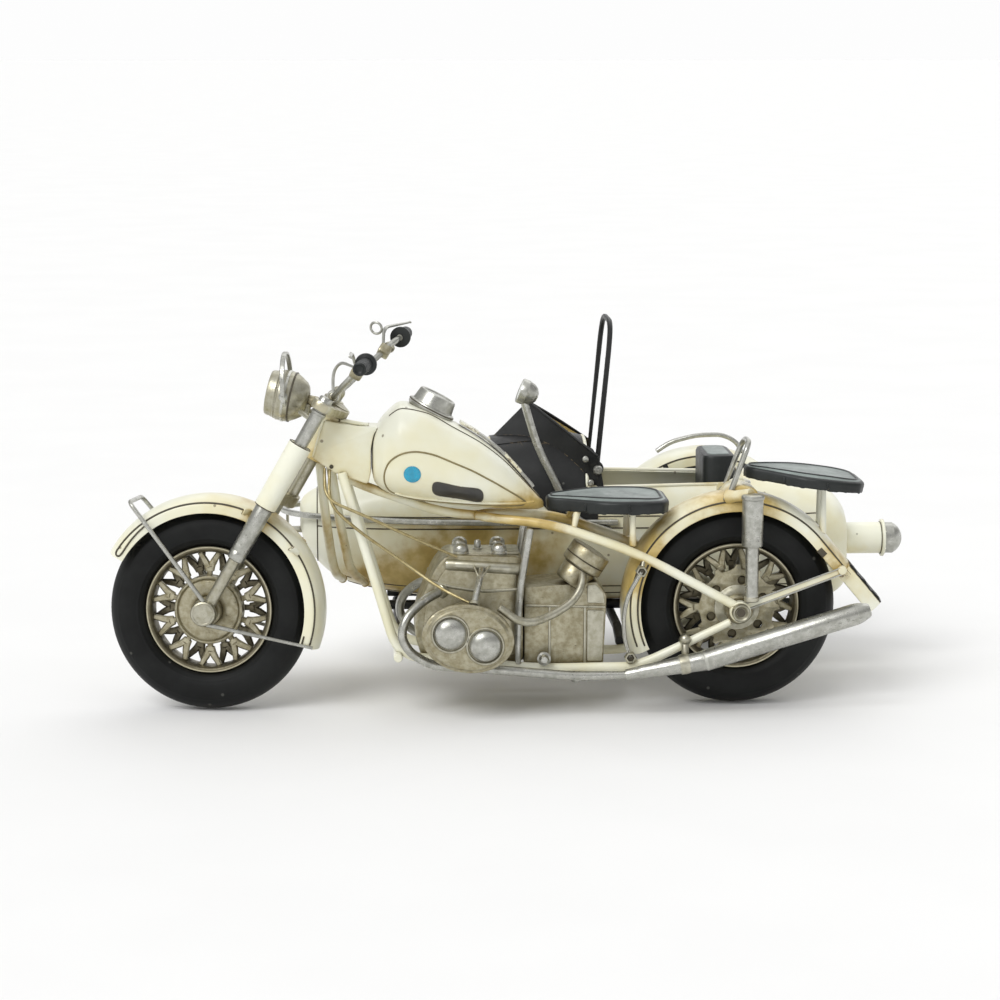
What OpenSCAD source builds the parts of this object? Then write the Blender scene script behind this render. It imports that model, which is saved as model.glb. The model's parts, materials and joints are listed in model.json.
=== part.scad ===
// Tin model of a motorcycle with a sidecar. Millimetres, +Z up.
// -X is the front of the motorcycle and +Y is the side that the sidecar is on.
// Places are measured from the motorcycle's middle plane and the ground under it;
// place() moves them to the part's own frame, the middle of the bottom of its box.

/* [Wheels] */
// Outer radius of each tyre
wheel_r = 38.5; // [38.2:0.1:38.8]
// Width of each tyre
tyre_w = 15.5; // [14.5:0.5:16]
// Radius where each tyre sits on its rim
rim_r = 24; // [23.5:0.5:25]
// Number of forked spokes in each wheel
spoke_count = 10; // [8:1:12]
// Radius of the wheel axles
axle_r = 2; // [1.6:0.1:2.2]

/* [Steering] */
// Angle of the fork from upright
rake = 30; // [29:0.5:31]
// Distance from the middle plane to each fork leg
fork_half = 15; // [14.8:0.1:15.4]
// Turn of the fork towards the sidecar at rest
steer_rest = 8; // [4:1:10]

/* [Motorcycle] */
// Radius of the frame tubes
tube_r = 1.8; // [1.5:0.1:1.9]
// Half width of the fuel tank
tank_half = 20; // [18:0.5:21]
// Half width of both mudguards over the motorcycle's wheels
guard_half = 10.5; // [9.8:0.1:10.6]

/* [Sidecar] */
// Distance from the motorcycle's middle plane to the sidecar's
side_y = 69; // [68:0.5:70]
// Half width of the sidecar's body
hull_half = 27; // [26:0.5:28]
// Distance from the motorcycle's middle plane to the sidecar's wheel
side_wheel_y = 122; // [121:0.5:123]

/* [Hidden] */
$fn = 48;

// Colours
cream = "#e8e4cf";
silver = "#9b988c";
black = "#23262a";

// Middle of the part's box, from the middle plane and the middle of the wheelbase
box_x = 9.5;
box_y = 38.6;

// Clearances
running = 0.05;
gap = 0.3;
weld = 0.4;

// Wheels
front_x = -110;
rear_x = 90;
side_x = 92;
bead_w = 10.4;
rim_t = 2.4;
rim_w = 11;
hub_r = 5.5;
spoke_t = 3;
spoke_w = 0.9;
spoke_split = 16.5;
spoke_spread = 8;
drum_r = 13;
drum_t = 6;
flange_r = 16.5;
flange_teeth = 12;
boss_t = 4;
front_hub_half = fork_half - boss_t/2 - gap;
rear_half = 17;
rear_hub_half = rear_half - boss_t/2 - gap;
side_hub_half = 9.5;

// Mudguards: a shell with a rounded crown and a flange down each side
guard_r = 44;
guard_t = 0.9;
flange_drop = 7;

// Fork, in its own frame: the origin is level with the axle on the steering axis, +Z runs up it
fork_offset = 5;
foot_x = front_x + fork_offset*cos(rake);
foot_z = wheel_r - fork_offset*sin(rake);
leg_r = 2.65;
slider_r = 3.4;
rod_r = 2.3;
stem_r = 2.5;
slider_low = 23;
shroud_low = 46;
shroud_top = 73;
leg_top = 92;
head_low = 69;
head_top = 87.5;
yoke_top = 88;

// Tank: [x, share of the half width, bottom, top] of each section
tank_rows = [
    [-48.8, 0.15, 92, 100], [-47.6, 0.52, 87, 106], [-43.5, 0.8, 83.5, 112.5],
    [-37, 0.95, 81, 117], [-29, 1, 79.5, 115.6], [-18, 0.98, 78.2, 109.6],
    [-8, 0.88, 77.2, 103.6], [0, 0.75, 76.6, 97.2], [8, 0.52, 76, 88.6],
    [13.5, 0.28, 75.8, 82.2], [16.5, 0.08, 76.4, 78.6]
];
tank_power = 2.6;

// Sidecar body: [x, share of the half width, bottom, widest height, top] of each section
hull_rows = [
    [-77, 0.16, 58, 63, 68], [-75.5, 0.36, 53, 62.5, 70.5], [-71, 0.54, 46, 62, 73.4],
    [-62, 0.74, 38.5, 62, 76.6], [-48, 0.88, 34, 62, 81], [-28, 0.97, 31, 62, 86.6],
    [0, 1, 29.2, 62, 94], [24, 1, 28.6, 62, 96], [44, 1, 28.5, 62, 92],
    [72, 1, 28.5, 62, 84], [100, 1, 28.5, 62, 80.5], [124, 0.92, 29, 60, 77],
    [138, 0.8, 30, 56, 71], [142, 0.7, 33, 54, 66]
];
hull_low_power = 3;
hull_top_power = 2.2;
shell_t = 1.2;
cockpit_x = [37, 99];
cockpit_z = 77;

// Roll hoop, which folds back on its two screws
hoop_x = 41;
hoop_z = 84;
hoop_half = 20;
hoop_r = 1;
screw_r = 0.95;
hoop_h = 58;
hoop_lean = 5.5;

// ---------------------------------------------------------------- helpers

module place() {
    translate([-box_x, -box_y, 0])
        children();
}

// Stands children up in the fork's frame
module in_fork() {
    place()
        translate([foot_x, 0, foot_z])
            rotate([0, rake, 0])
                rotate([0, 0, -steer_rest])
                    children();
}

// Turns a shape drawn round +Z so that its axis lies along Y, with +Z towards -Y
module across() {
    rotate([90, 0, 0])
        children();
}

module both_sides() {
    children();
    mirror([0, 1, 0])
        children();
}

// The sidecar's own middle plane
module at_sidecar() {
    place()
        translate([0, side_y, 0])
            children();
}

// A round bar from a to b
module bar(a, b, r) {
    v = b - a;
    translate(a)
        rotate([0, acos(v.z/norm(v)), atan2(v.y, v.x)])
            cylinder(h = norm(v), r = r);
}

// A bent wire with mitred bends: each ring is the last one, slid along its run to the next mitre
wire_sides = 12;
function unit(v) = v/norm(v);
function run(points, i) = unit(points[i + 1] - points[i]);
function first_ring(p, d, r) =
    let (side = unit(cross(d, abs(d.z) < 0.9 ? [0, 0, 1] : [1, 0, 0])), over = cross(d, side))
    [for (i = [0:wire_sides - 1]) let (a = i*360/wire_sides) p + r*(cos(a)*side + sin(a)*over)];
function slide(ring, d, p, facing) = [for (q = ring) q + d*((p - q)*facing)/(d*facing)];
function later_rings(points, ring, i = 1) =
    i == len(points) ? []
    : let (d = run(points, i - 1), facing = i == len(points) - 1 ? d : d + run(points, i),
        next = slide(ring, d, points[i], facing))
    concat([next], later_rings(points, next, i + 1));
module wire(points, r) {
    start = first_ring(points[0], run(points, 0), r);
    loft(concat([start], later_rings(points, start)));
}

// A path on the -Y side, its mirror image, and the run across between their last points
function both_paths(path) =
    concat(path, [for (i = [len(path) - 1:-1:0]) [path[i].x, -path[i].y, path[i].z]]);

function polar(r, a) = [r*cos(a), r*sin(a)];
function signed_power(v, p) = sign(v)*pow(abs(v), p);

// Value of column k in rows at x, on a smooth curve through the rows
function slope(rows, i, k) =
    i == 0 || i == len(rows) - 1 ? 0
    : (rows[i + 1][k] - rows[i - 1][k])/(rows[i + 1][0] - rows[i - 1][0]);
function smooth_between(rows, i, k, x) =
    let (h = rows[i + 1][0] - rows[i][0], t = (x - rows[i][0])/h)
    rows[i][k]*(1 + 2*t)*(1 - t)*(1 - t) + slope(rows, i, k)*h*t*(1 - t)*(1 - t)
    + rows[i + 1][k]*t*t*(3 - 2*t) + slope(rows, i + 1, k)*h*t*t*(t - 1);
function row_at(rows, x, i = 0) =
    i >= len(rows) - 2 || x <= rows[i + 1][0] ? i : row_at(rows, x, i + 1);
function at(rows, k, x) = smooth_between(rows, row_at(rows, x), k, x);

// A closed skin over rings of equal length
module loft(rings) {
    n = len(rings[0]);
    last = len(rings) - 1;
    sides = [
        for (i = [0:last - 1]) for (j = [0:n - 1])
            [i*n + j, (i + 1)*n + j, (i + 1)*n + (j + 1)%n, i*n + (j + 1)%n]
    ];
    caps = [[for (j = [0:n - 1]) j], [for (j = [n - 1:-1:0]) last*n + j]];
    polyhedron([for (ring = rings) each ring], concat(sides, caps));
}

// Sections of a lofted body: places along x, a few between each two rows
function stops(rows, steps) = [
    for (i = [0:len(rows) - 2]) for (s = [0:steps - 1])
        rows[i][0] + (rows[i + 1][0] - rows[i][0])*s/steps,
    rows[len(rows) - 1][0]
];

// ---------------------------------------------------------------- wheels

module tyre() {
    across()
        rotate_extrude()
            difference() {
                union() {
                    translate([wheel_r - tyre_w/2, 0])
                        circle(d = tyre_w);
                    translate([0, -bead_w/2])
                        square([wheel_r - tyre_w/2, bead_w]);
                }
                translate([0, -tyre_w])
                    square([rim_r, 2*tyre_w]);
            }
}

// Outline of one forked spoke, along +X
function spoke_outline() =
    let (r = rim_r - rim_t + weld, a = spoke_spread, d = 3)
    [
        [hub_r - weld, -spoke_w], [spoke_split, -spoke_w], polar(r, -a - d), polar(r, -a + d),
        [spoke_split + 2, 0], polar(r, a - d), polar(r, a + d), [spoke_split, spoke_w],
        [hub_r - weld, spoke_w]
    ];

module wheel_casting(hub_half) {
    difference() {
        union() {
            rotate_extrude()
                translate([rim_r - rim_t, -rim_w/2])
                    square([rim_t, rim_w]);
            cylinder(r = hub_r, h = 2*hub_half, center = true);
            for (i = [0:spoke_count - 1])
                rotate(i*360/spoke_count)
                    translate([0, 0, -spoke_t/2])
                        linear_extrude(spoke_t)
                            polygon(spoke_outline());
            children();
        }
        cylinder(r = axle_r + running, h = 3*hub_half, center = true);
    }
}

module brake_drum() {
    translate([0, 0, spoke_t/2 - weld])
        cylinder(r = drum_r, h = drum_t);
}

// Toothed flange with a ring of holes
module toothed_flange() {
    pitch = 360/flange_teeth;
    teeth = [
        for (i = [0:flange_teeth - 1]) for (k = [0:3])
            polar(flange_r - (k < 2 ? 0 : 1.8), (i + [0.05, 0.5, 0.6, 0.95][k])*pitch)
    ];
    translate([0, 0, tyre_w/2 - 1])
        difference() {
            linear_extrude(1.4)
                polygon(teeth);
            for (i = [0:5])
                rotate(i*60 + 15)
                    translate([10.5, 0, -1])
                        cylinder(r = 1.7, h = 4);
        }
}

module front_tyre() {
    color(black)
        in_fork()
            translate([-fork_offset, 0, 0])
                tyre();
}

module front_wheel() {
    color(silver)
        in_fork()
            translate([-fork_offset, 0, 0])
                across()
                    wheel_casting(front_hub_half)
                        brake_drum();
}

module rear_tyre() {
    color(black)
        place()
            translate([rear_x, 0, wheel_r])
                tyre();
}

module rear_wheel() {
    color(silver)
        place()
            translate([rear_x, 0, wheel_r])
                across()
                    wheel_casting(rear_hub_half)
                        toothed_flange();
}

module sidecar_tyre() {
    color(black)
        place()
            translate([side_x, side_wheel_y, wheel_r])
                tyre();
}

module sidecar_wheel() {
    color(silver)
        place()
            translate([side_x, side_wheel_y, wheel_r])
                rotate([180, 0, 0])
                    across()
                        wheel_casting(side_hub_half)
                            brake_drum();
}

// ---------------------------------------------------------------- mudguards

// Half section of a mudguard as [radius, sideways]; the shell is guard_t thick
function guard_section(half) = [
    [guard_r - flange_drop, half - 0.3], [guard_r - 3.4, half], [guard_r - 1.8, half - 2],
    [guard_r - 0.6, half - 5], [guard_r, half - 9]
];
function inward(p) = [p.x - (p.x > guard_r - 3 ? guard_t : 0), p.y - (p.x < guard_r - 1 ? guard_t : 0.3)];
module guard_profile(half) {
    outer = guard_section(half);
    inner = [for (p = outer) inward(p)];
    polygon(concat(
        outer, [for (i = [len(outer) - 1:-1:0]) [outer[i].x, -outer[i].y]],
        [for (p = inner) [p.x, -p.y]], [for (i = [len(inner) - 1:-1:0]) inner[i]]
    ));
}

// Mudguard round a wheel's centre, from angle a to angle b, up from +X
module guard_arc(a, b, half) {
    across()
        rotate(a)
            rotate_extrude(angle = b - a, $fn = 96)
                guard_profile(half);
}

// Straight end of a mudguard, leaving the arc at angle a
module guard_tail(a, length, half) {
    across()
        rotate(a)
            rotate([90, 0, 0])
                linear_extrude(length)
                    guard_profile(half);
}

module front_mudguard() {
    color(cream)
        in_fork()
            translate([-fork_offset, 0, 0])
                guard_arc(10, 180, guard_half);
}

rear_guard_a = 40;
rear_guard_b = 205;
tail_length = 18.5;
flap_length = 19;

module rear_mudguard() {
    color(cream)
        place()
            translate([rear_x, 0, wheel_r]) {
                guard_arc(rear_guard_a, rear_guard_b, guard_half);
                guard_tail(rear_guard_a, tail_length, guard_half);
            }
}

module mud_flap() {
    color(black)
        place()
            translate([rear_x, 0, wheel_r])
                rotate([0, -rear_guard_a, 0])
                    translate([guard_r - 3.6, -guard_half + 1.2, -tail_length - flap_length])
                        cube([3.2, 2*guard_half - 2.4, flap_length]);
}

module sidecar_mudguard() {
    color(cream)
        place()
            translate([side_x, side_wheel_y, wheel_r])
                guard_arc(5, 172, guard_half);
}

// ---------------------------------------------------------------- fork and steering

module fork_stem() {
    color(silver)
        in_fork() {
            translate([0, 0, 49])
                cylinder(r = stem_r, h = leg_top - 49);
            // Lower yoke, between the shrouds
            translate([-fork_offset - 2.5, -fork_half + 4.2, 49])
                cube([fork_offset + 4, 2*fork_half - 8.4, 5]);
            // Upper yoke, clamped round both tubes
            difference() {
                union() {
                    translate([-fork_offset - 2.5, -fork_half, yoke_top])
                        cube([fork_offset + 5, 2*fork_half, 3.5]);
                    for (s = [-1, 1])
                        translate([-fork_offset, s*fork_half, yoke_top - 0.5])
                            cylinder(r = 4.2, h = 4.5);
                }
                for (s = [-1, 1])
                    translate([-fork_offset, s*fork_half, 0])
                        cylinder(r = leg_r, h = leg_top + 10);
            }
        }
}

module fork_leg() {
    translate([-fork_offset, -fork_half, 0]) {
        translate([0, 0, shroud_low - weld])
            cylinder(r = leg_r, h = leg_top + 1.5 - shroud_low + weld);
        translate([0, 0, slider_low])
            cylinder(r = slider_r, h = shroud_low - slider_low);
        difference() {
            union() {
                cylinder(r = rod_r, h = slider_low + weld);
                across()
                    cylinder(r = 3.6, h = boss_t, center = true);
            }
            across()
                cylinder(r = axle_r, h = 3*boss_t, center = true);
        }
    }
}

module fork_tubes() {
    color(silver)
        in_fork()
            both_sides()
                fork_leg();
}

module fork_shrouds() {
    color(cream)
        in_fork()
            for (s = [-1, 1])
                translate([-fork_offset, s*fork_half, shroud_low])
                    difference() {
                        cylinder(r1 = 4.1, r2 = 4.6, h = shroud_top - shroud_low);
                        translate([0, 0, -1])
                            cylinder(r = leg_r, h = shroud_top);
                    }
}

module front_axle() {
    color(silver)
        in_fork()
            translate([-fork_offset, 0, 0])
                across() {
                    cylinder(r = axle_r, h = 2*fork_half + boss_t, center = true);
                    for (s = [-1, 1])
                        translate([0, 0, s*(fork_half + boss_t/2 + 1.4)])
                            cylinder(r = 4.8, h = 2.8, center = true);
                }
}

// Bent wire ahead of the mudguard and a straight stay behind, on each side
loop_side = [[-fork_offset - 2, -fork_half - 3.4, 4], [-50.5, -12.6, 21.4]];
stay_side = [[-fork_offset + 3, -fork_half - 3.2, -3], [37, -guard_half - 0.5, 8.5]];
module front_stays() {
    color(silver)
        in_fork() {
            wire(both_paths(loop_side), 0.8);
            both_sides()
                wire(stay_side, 0.8);
        }
}

// Handlebar, a little down on the left as a hand-bent one is
bar_roll = 6;
bar_side = [[3.5, -40, 118.5], [2.5, -34, 116.5], [-1, -24, 105], [-3.5, -11, 96], [-4, -5, 94.5]];
module on_bar() {
    in_fork()
        translate([0, 0, 94])
            rotate([bar_roll, 0, 0])
                translate([0, 0, -94])
                    children();
}

module handlebar() {
    color(silver)
        on_bar() {
            wire(both_paths(bar_side), 1.15);
            for (s = [-1, 1])
                translate([-4, s*5, 94.5])
                    sphere(r = 2.6);
        }
}

module handlebar_grips() {
    color(black)
        on_bar()
            both_sides()
                translate([3.5, -40, 118.5])
                    across() {
                        cylinder(r = 2.6, h = 15);
                        cylinder(r = 4, h = 1.6);
                    }
}

// Switch blocks, the clutch and brake levers, their cables and a small ring
module hand_controls() {
    color(silver)
        on_bar() {
            for (s = [-1, 1])
                translate([1.4, s*30.4, 112.4])
                    rotate([s*45, 0, 0])
                        cube([5, 5, 4], center = true);
            wire([[0, 31, 114], [-3.5, 35, 119.5], [4, 49, 125]], 0.7);
            wire([[0, -31, 114], [-3.5, -35, 118.5], [-2, -49, 119.5]], 0.7);
            translate([-6.3, 35, 120.5])
                rotate_extrude()
                    translate([2.4, 0])
                        circle(r = 0.6);
            wire([[-4, -14, 97.5], [-8, -13, 104], [-7, -18, 110], [0, -28, 113]], 0.6);
        }
}

// Headlamp in front of the fork, tipped a little up
lamp_tip = 12;
module at_lamp() {
    in_fork()
        translate([-19, 0, 85])
            rotate([0, -90 - rake + lamp_tip, 0])
                children();
}

module headlamp_shell() {
    color(silver)
        at_lamp()
            difference() {
                union() {
                    translate([0, 0, -7])
                        cylinder(r1 = 5.5, r2 = 9.6, h = 6);
                    translate([0, 0, -1])
                        cylinder(r = 9.6, h = 5);
                    translate([0, 0, 4])
                        cylinder(r1 = 8.9, r2 = 8.2, h = 4);
                    translate([0, 0, -11])
                        cylinder(r = 2.4, h = 5);
                }
                translate([0, 0, 3])
                    cylinder(r = 7.2, h = 10);
            }
}

module headlamp_lens() {
    color(silver)
        at_lamp()
            translate([0, 0, 3])
                cylinder(r = 7.2, h = 4.6);
}

// Wire hoop over the headlamp and its two bracket arms
module headlamp_hoop() {
    color(silver) {
        at_lamp() {
            translate([4.5, 0, 2])
                rotate([0, -14, 0])
                    rotate_extrude()
                        translate([11.2, -0.8])
                            square([1, 1.6]);
            bar([-1, -9.4, 0.5], [-2, -11.6, 1], 0.9);
            bar([-1, 9.4, 0.5], [-2, 11.6, 1], 0.9);
        }
        in_fork()
            for (s = [-1, 1])
                bar([-12, s*8, 83], [-fork_offset - 2, s*(fork_half - 1.6), 83], 1);
    }
}

// ---------------------------------------------------------------- frame

gusset_half = 7;
gusset_side = [
    [-66.5, 114], [-71.3, 97], [-62.5, 91], [-50, 86.5], [-48.9, 92], [-48.9, 100],
    [-47.6, 106], [-45.5, 109.2], [-54, 111.2]
];
module neck_gusset() {
    color(cream)
        difference() {
            union() {
                in_fork()
                    translate([0, 0, head_low])
                        cylinder(r = 4.2, h = head_top - head_low);
                place()
                    across()
                        translate([0, 0, -gusset_half])
                            linear_extrude(2*gusset_half)
                                polygon(gusset_side);
            }
            in_fork() {
                cylinder(r = stem_r + running, h = 150);
                // Room for both yokes to turn
                translate([0, 0, head_top])
                    cylinder(r = 12, h = 20);
                translate([0, 0, head_low - 8])
                    cylinder(r = 12, h = 8);
            }
        }
}

upper_side = [[88, -rear_half, 40.8], [52, -15, 60.5], [20, -13.4, 71.8], [-4, -6, 73.4]];
module upper_frame() {
    color(cream)
        place()
            difference() {
                union() {
                    wire(both_paths(upper_side), tube_r);
                    for (s = [-1, 1])
                        translate([rear_x, s*rear_half, wheel_r])
                            across()
                                cylinder(r = 4, h = boss_t, center = true);
                }
                translate([rear_x, 0, wheel_r])
                    across()
                        cylinder(r = axle_r, h = 100, center = true);
            }
}

// Tube under the tank, from the gusset to the upper frame's cross run
backbone_path = [[-61, 0, 89.4], [-50, 0, 84.4], [-22, 0, 74.6], [-5.6, 0, 73.4]];
module backbone() {
    color(cream)
        place()
            wire(backbone_path, tube_r);
}

down_side = [
    [-60, -gusset_half - 1.6, 91.4], [-39.3, -15.1, 22.5], [14, -15.1, 17], [49, -16, 17.5],
    [57, -16, 20.2], [86.5, -rear_half, 34.6]
];
seat_side = [[10.6, -15.4, 70.6], [6, -15.4, 43], [6, -15.4, 18.8]];
module lower_frame() {
    color(cream)
        place() {
            both_sides() {
                wire(down_side, tube_r);
                wire(seat_side, 1.4);
            }
            bar([-39.3, -20, 22.5], [-39.3, 20, 22.5], 1.7);
        }
}

module sidecar_struts() {
    color(cream)
        place() {
            wire([[-68.5, 7, 96], [-66.5, 13, 72], [-63.5, 27, 47], [-60, 50.5, 40]], tube_r);
            wire([[-64.5, 7.4, 94], [-61.5, 15, 72], [-57, 32, 46], [-51, 48.5, 38.6]], tube_r);
        }
}

// ---------------------------------------------------------------- tank and saddles

function tank_ring(x, grow) =
    let (w = tank_half*at(tank_rows, 1, x) + grow,
        low = at(tank_rows, 2, x) - grow, high = at(tank_rows, 3, x) + grow)
    [
        for (i = [0:35])
            [x, w*signed_power(cos(i*10), 2/tank_power),
                (low + high)/2 + (high - low)/2*signed_power(sin(i*10), 2/tank_power)]
    ];
module tank_body(grow) {
    loft([for (x = stops(tank_rows, 3)) tank_ring(x, grow)]);
}

// The tank, with a flat strip along its top from the cap to the tail
module fuel_tank() {
    color(cream)
        place() {
            tank_body(0);
            intersection() {
                tank_body(1.1);
                translate([-15.5, -3, 80])
                    cube([28, 6, 40]);
            }
        }
}

// Height and slope of the tank's top under the filler cap
cap_x = -26;
cap_tilt = 28;
module tank_cap() {
    color(silver)
        place()
            difference() {
                translate([cap_x, 0, at(tank_rows, 3, cap_x)])
                    rotate([0, cap_tilt, 0]) {
                        translate([0, 0, -2])
                            cylinder(r = 9.2, h = 3);
                        translate([0, 0, 1])
                            cylinder(r1 = 8, r2 = 7.2, h = 5);
                    }
                tank_body(0);
            }
}

// A disc and a rounded bar on each side of the tank
module tank_badges() {
    color("#2f4a58")
        place()
            difference() {
                both_sides() {
                    translate([-33.5, -tank_half - 0.6, 92])
                        across()
                            cylinder(r = 3.2, h = 3, center = true);
                    translate([-24.5, -tank_half - 0.4, 87.2])
                        rotate([0, 12, 0]) {
                            translate([0, -1.2, -2.6])
                                cube([14, 3, 5.2]);
                            for (x = [0, 14])
                                translate([x, 0.3, 0])
                                    across()
                                        cylinder(r = 2.6, h = 3, center = true);
                        }
                }
                tank_body(0);
            }
}

// Half outline of a saddle, from its nose back: [x, half width]
saddle_half = [
    [0, 3.5], [2, 5.5], [7, 8], [14, 12.5], [20, 16.5], [26, 18], [38, 18.2], [43.5, 16], [46, 11]
];
module saddle_plate(stretch, thick) {
    outline = [for (p = saddle_half) [p.x*stretch, -p.y]];
    linear_extrude(thick)
        polygon(concat(outline, [for (i = [len(outline) - 1:-1:0]) [outline[i].x, -outline[i].y]]));
}

rider_z = 76;
module rider_saddle() {
    color(black)
        place()
            translate([17.5, 0, rider_z])
                saddle_plate(1, 5.4);
}

pillion_x = 93;
pillion_z = 87.8;
pillion_tilt = 6.5;
module pillion_saddle() {
    color(black)
        place()
            translate([pillion_x, 0, pillion_z])
                rotate([0, pillion_tilt, 0])
                    saddle_plate(0.97, 4.8);
}

module saddle_posts() {
    color(cream)
        place()
            both_sides() {
                bar([49.5, -12.6, 63], [49.5, -12.6, rider_z], 1.3);
                bar([123, -4.5, 66], [123, -4.5, 84.6], 1.3);
                bar([29, -8, rider_z - 0.2], [27, -13.4, 70], 1.2);
            }
}

grab_side = [[86, -9, 80.4], [93, -7.5, 99], [94.2, -4.5, 101.5]];
module grab_handle() {
    color(silver)
        place() {
            wire(both_paths(grab_side), 1.05);
        }
}

// ---------------------------------------------------------------- rear suspension

module mudguard_stays() {
    color(cream)
        place()
            both_sides()
                bar([92.4, -rear_half - 0.4, 40.6], [130, -guard_half - 1.2, 53], 1.4);
}

shock_x = 94;
shock_y = 19;
module shock_covers() {
    color(silver)
        place()
            for (s = [-1, 1])
                translate([shock_x, s*shock_y, 63.8]) {
                    difference() {
                        cylinder(r = 4, h = 18);
                        translate([0, 0, -1])
                            cylinder(r = 2.6, h = 8);
                    }
                    translate([0, 0, 18])
                        cylinder(r = 4.4, h = 1.6);
                }
}

module shock_rods() {
    color(silver)
        place()
            for (s = [-1, 1])
                translate([shock_x, s*shock_y, 42.5])
                    cylinder(r = 2.5, h = 28);
}

module rear_axle() {
    color(silver)
        place()
            translate([rear_x, 0, wheel_r])
                across() {
                    cylinder(r = axle_r, h = 2*rear_half + boss_t, center = true);
                    for (s = [-1, 1])
                        translate([0, 0, s*(rear_half + boss_t/2 + 1.2)])
                            cylinder(r = 3.4, h = 2.4, center = true);
                }
}

// ---------------------------------------------------------------- engine

case_half = 13;
case_side = [[-30, 20], [-33, 30], [-32, 40], [-25.5, 55], [-21, 60.5], [8, 59.5], [8.4, 18.5]];
module case_block(side) {
    across()
        translate([0, 0, -case_half])
            linear_extrude(2*case_half)
                polygon(side);
}

module crankcase() {
    color(silver)
        place() {
            case_block(case_side);
            both_sides()
                bar([-20.5, -case_half, 56.8], [7.4, -case_half, 54.6], 2.1);
        }
}

head_x = -13.6;
head_z = 32.4;
head_tilt = 8;
head_a = 17.2;
head_b = 12.9;
module cylinders() {
    color(silver)
        place()
            both_sides()
                translate([head_x, -case_half, head_z])
                    across() {
                        cylinder(r = 9, h = 17);
                        for (i = [0:4])
                            translate([0, 0, 2 + i*3.2])
                                cylinder(r = 10.5, h = 1.3);
                    }
}

module head_covers() {
    outline = [for (i = [0:35]) [head_a*cos(i*10), head_b*sin(i*10)]];
    color(silver)
        place()
            both_sides()
                translate([head_x, -case_half - 17, head_z])
                    across()
                        rotate(-head_tilt) {
                            linear_extrude(7)
                                polygon(outline);
                            for (x = [-6.9, 6.5])
                                translate([x, -1.4, 7 - weld]) {
                                    cylinder(r = 7, h = 1.4);
                                    intersection() {
                                        sphere(r = 5.8);
                                        cylinder(r = 7, h = 7);
                                    }
                                }
                        }
}

module cylinder_nuts() {
    color(silver)
        place() {
            difference() {
                union() {
                    both_sides()
                        for (x = [-15.2, -0.8])
                            translate([x, -7, 59]) {
                                cylinder(r = 3.3, h = 2.6);
                                translate([0, 0, 2.4])
                                    sphere(r = 3);
                            }
                    translate([-8.6, 0, 59])
                        cylinder(r = 1.5, h = 5);
                }
                case_block(case_side);
            }
            // Spark plugs with their caps
            both_sides()
                bar([-11.4, -30.6, 45.2], [-7.6, -15.9, 56.2], 1.5);
        }
}

gearbox_side = [[8.4, 18], [38.6, 18], [39.8, 44.4], [36, 49.6], [8.4, 47.6]];
module gearbox() {
    color(silver)
        place()
            case_block(gearbox_side);
}

intake_side = [
    [-2, -31, 43.8], [4.7, -31, 38.6], [10.4, -29, 37.3], [18.2, -25, 39.3], [26.3, -21, 43.6],
    [30.3, -17.4, 49.6]
];
module air_cleaner() {
    color(silver)
        place()
            difference() {
                union() {
                    translate([26.5, -8, 49.8])
                        rotate([0, 33, 0]) {
                            translate([0, 0, 0.6])
                                cylinder(r = 6.6, h = 6);
                            translate([0, 0, 6])
                                cylinder(r = 8, h = 8.6);
                        }
                    wire(concat(intake_side, [[30.5, -12, 55]]), 1.5);
                }
                case_block(gearbox_side);
            }
}

pipe_side = [
    [-23.5, -case_half + 0.2, 46.4], [-30, -20, 44.4], [-36.6, -24.5, 38.5], [-38.4, -25.5, 32],
    [-35.4, -25.2, 26], [-27.5, -24.4, 20.6], [-1, -24, 18.4], [27, -24, 15.8]
];
pipe_r = 1.75;
module exhaust_pipes() {
    color(silver)
        place() {
            wire(concat(pipe_side, [[46, -24, 16]]), pipe_r);
            mirror([0, 1, 0])
                wire(pipe_side, pipe_r);
            // The right pipe crosses under the frame to join the left
            wire([[27, 24, 15.8], [27, 19, 13.2], [27, -19, 13.2], [27, -24, 15.8]], pipe_r);
        }
}

muffler_a = [46, -24, 16];
muffler_b = [77, -24, 21.4];
muffler_c = [133.5, -24, 38.6];
module muffler() {
    v = muffler_b - muffler_a;
    w = muffler_c - muffler_b;
    color(silver)
        place() {
            translate(muffler_a)
                rotate([0, acos(v.z/norm(v)), 0])
                    cylinder(r1 = 2.1, r2 = 4, h = norm(v) + 1);
            bar(muffler_b, muffler_c, 4.1);
            translate(muffler_c)
                rotate([0, acos(w.z/norm(w)), 0])
                    cylinder(r1 = 4, r2 = 2.2, h = 5);
            // Clamp up to the lower stay
            bar([69, -20.4, 22], [69, -18, 28.6], 1.4);
        }
}

strap_y = -17.8;
strap_side = [
    [52.4, strap_y, 54.4], [47.2, strap_y, 45], [45.6, strap_y, 36.8], [46.2, strap_y, 28],
    [48.4, strap_y, 21.4]
];
module brake_strap() {
    color(silver)
        place() {
            wire(strap_side, 0.9);
            for (p = [strap_side[0], strap_side[4]])
                translate(p)
                    across()
                        cylinder(r = 2.3, h = 2.4, center = true);
            bar(strap_side[0], [54, -14.4, 60], 0.8);
            bar([15.6, -case_half, 21.5], [15.6, -22, 21.5], 1.6);
        }
}

module engine_cables() {
    color(silver)
        place() {
            wire([
                [-66.4, -6.6, 93], [-66.4, -12, 82], [-51.4, -15, 76], [-34.6, -15.8, 68],
                [-17, -14.6, 60]
            ], 0.6);
            wire([
                [-64.5, -6.6, 92.3], [-65, -12.6, 80], [-54.4, -15.4, 70.7], [-38.4, -17, 59.5],
                [-23.7, -24, 49.8], [-13, -31, 45.6]
            ], 0.6);
        }
}

// ---------------------------------------------------------------- sidecar

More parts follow.
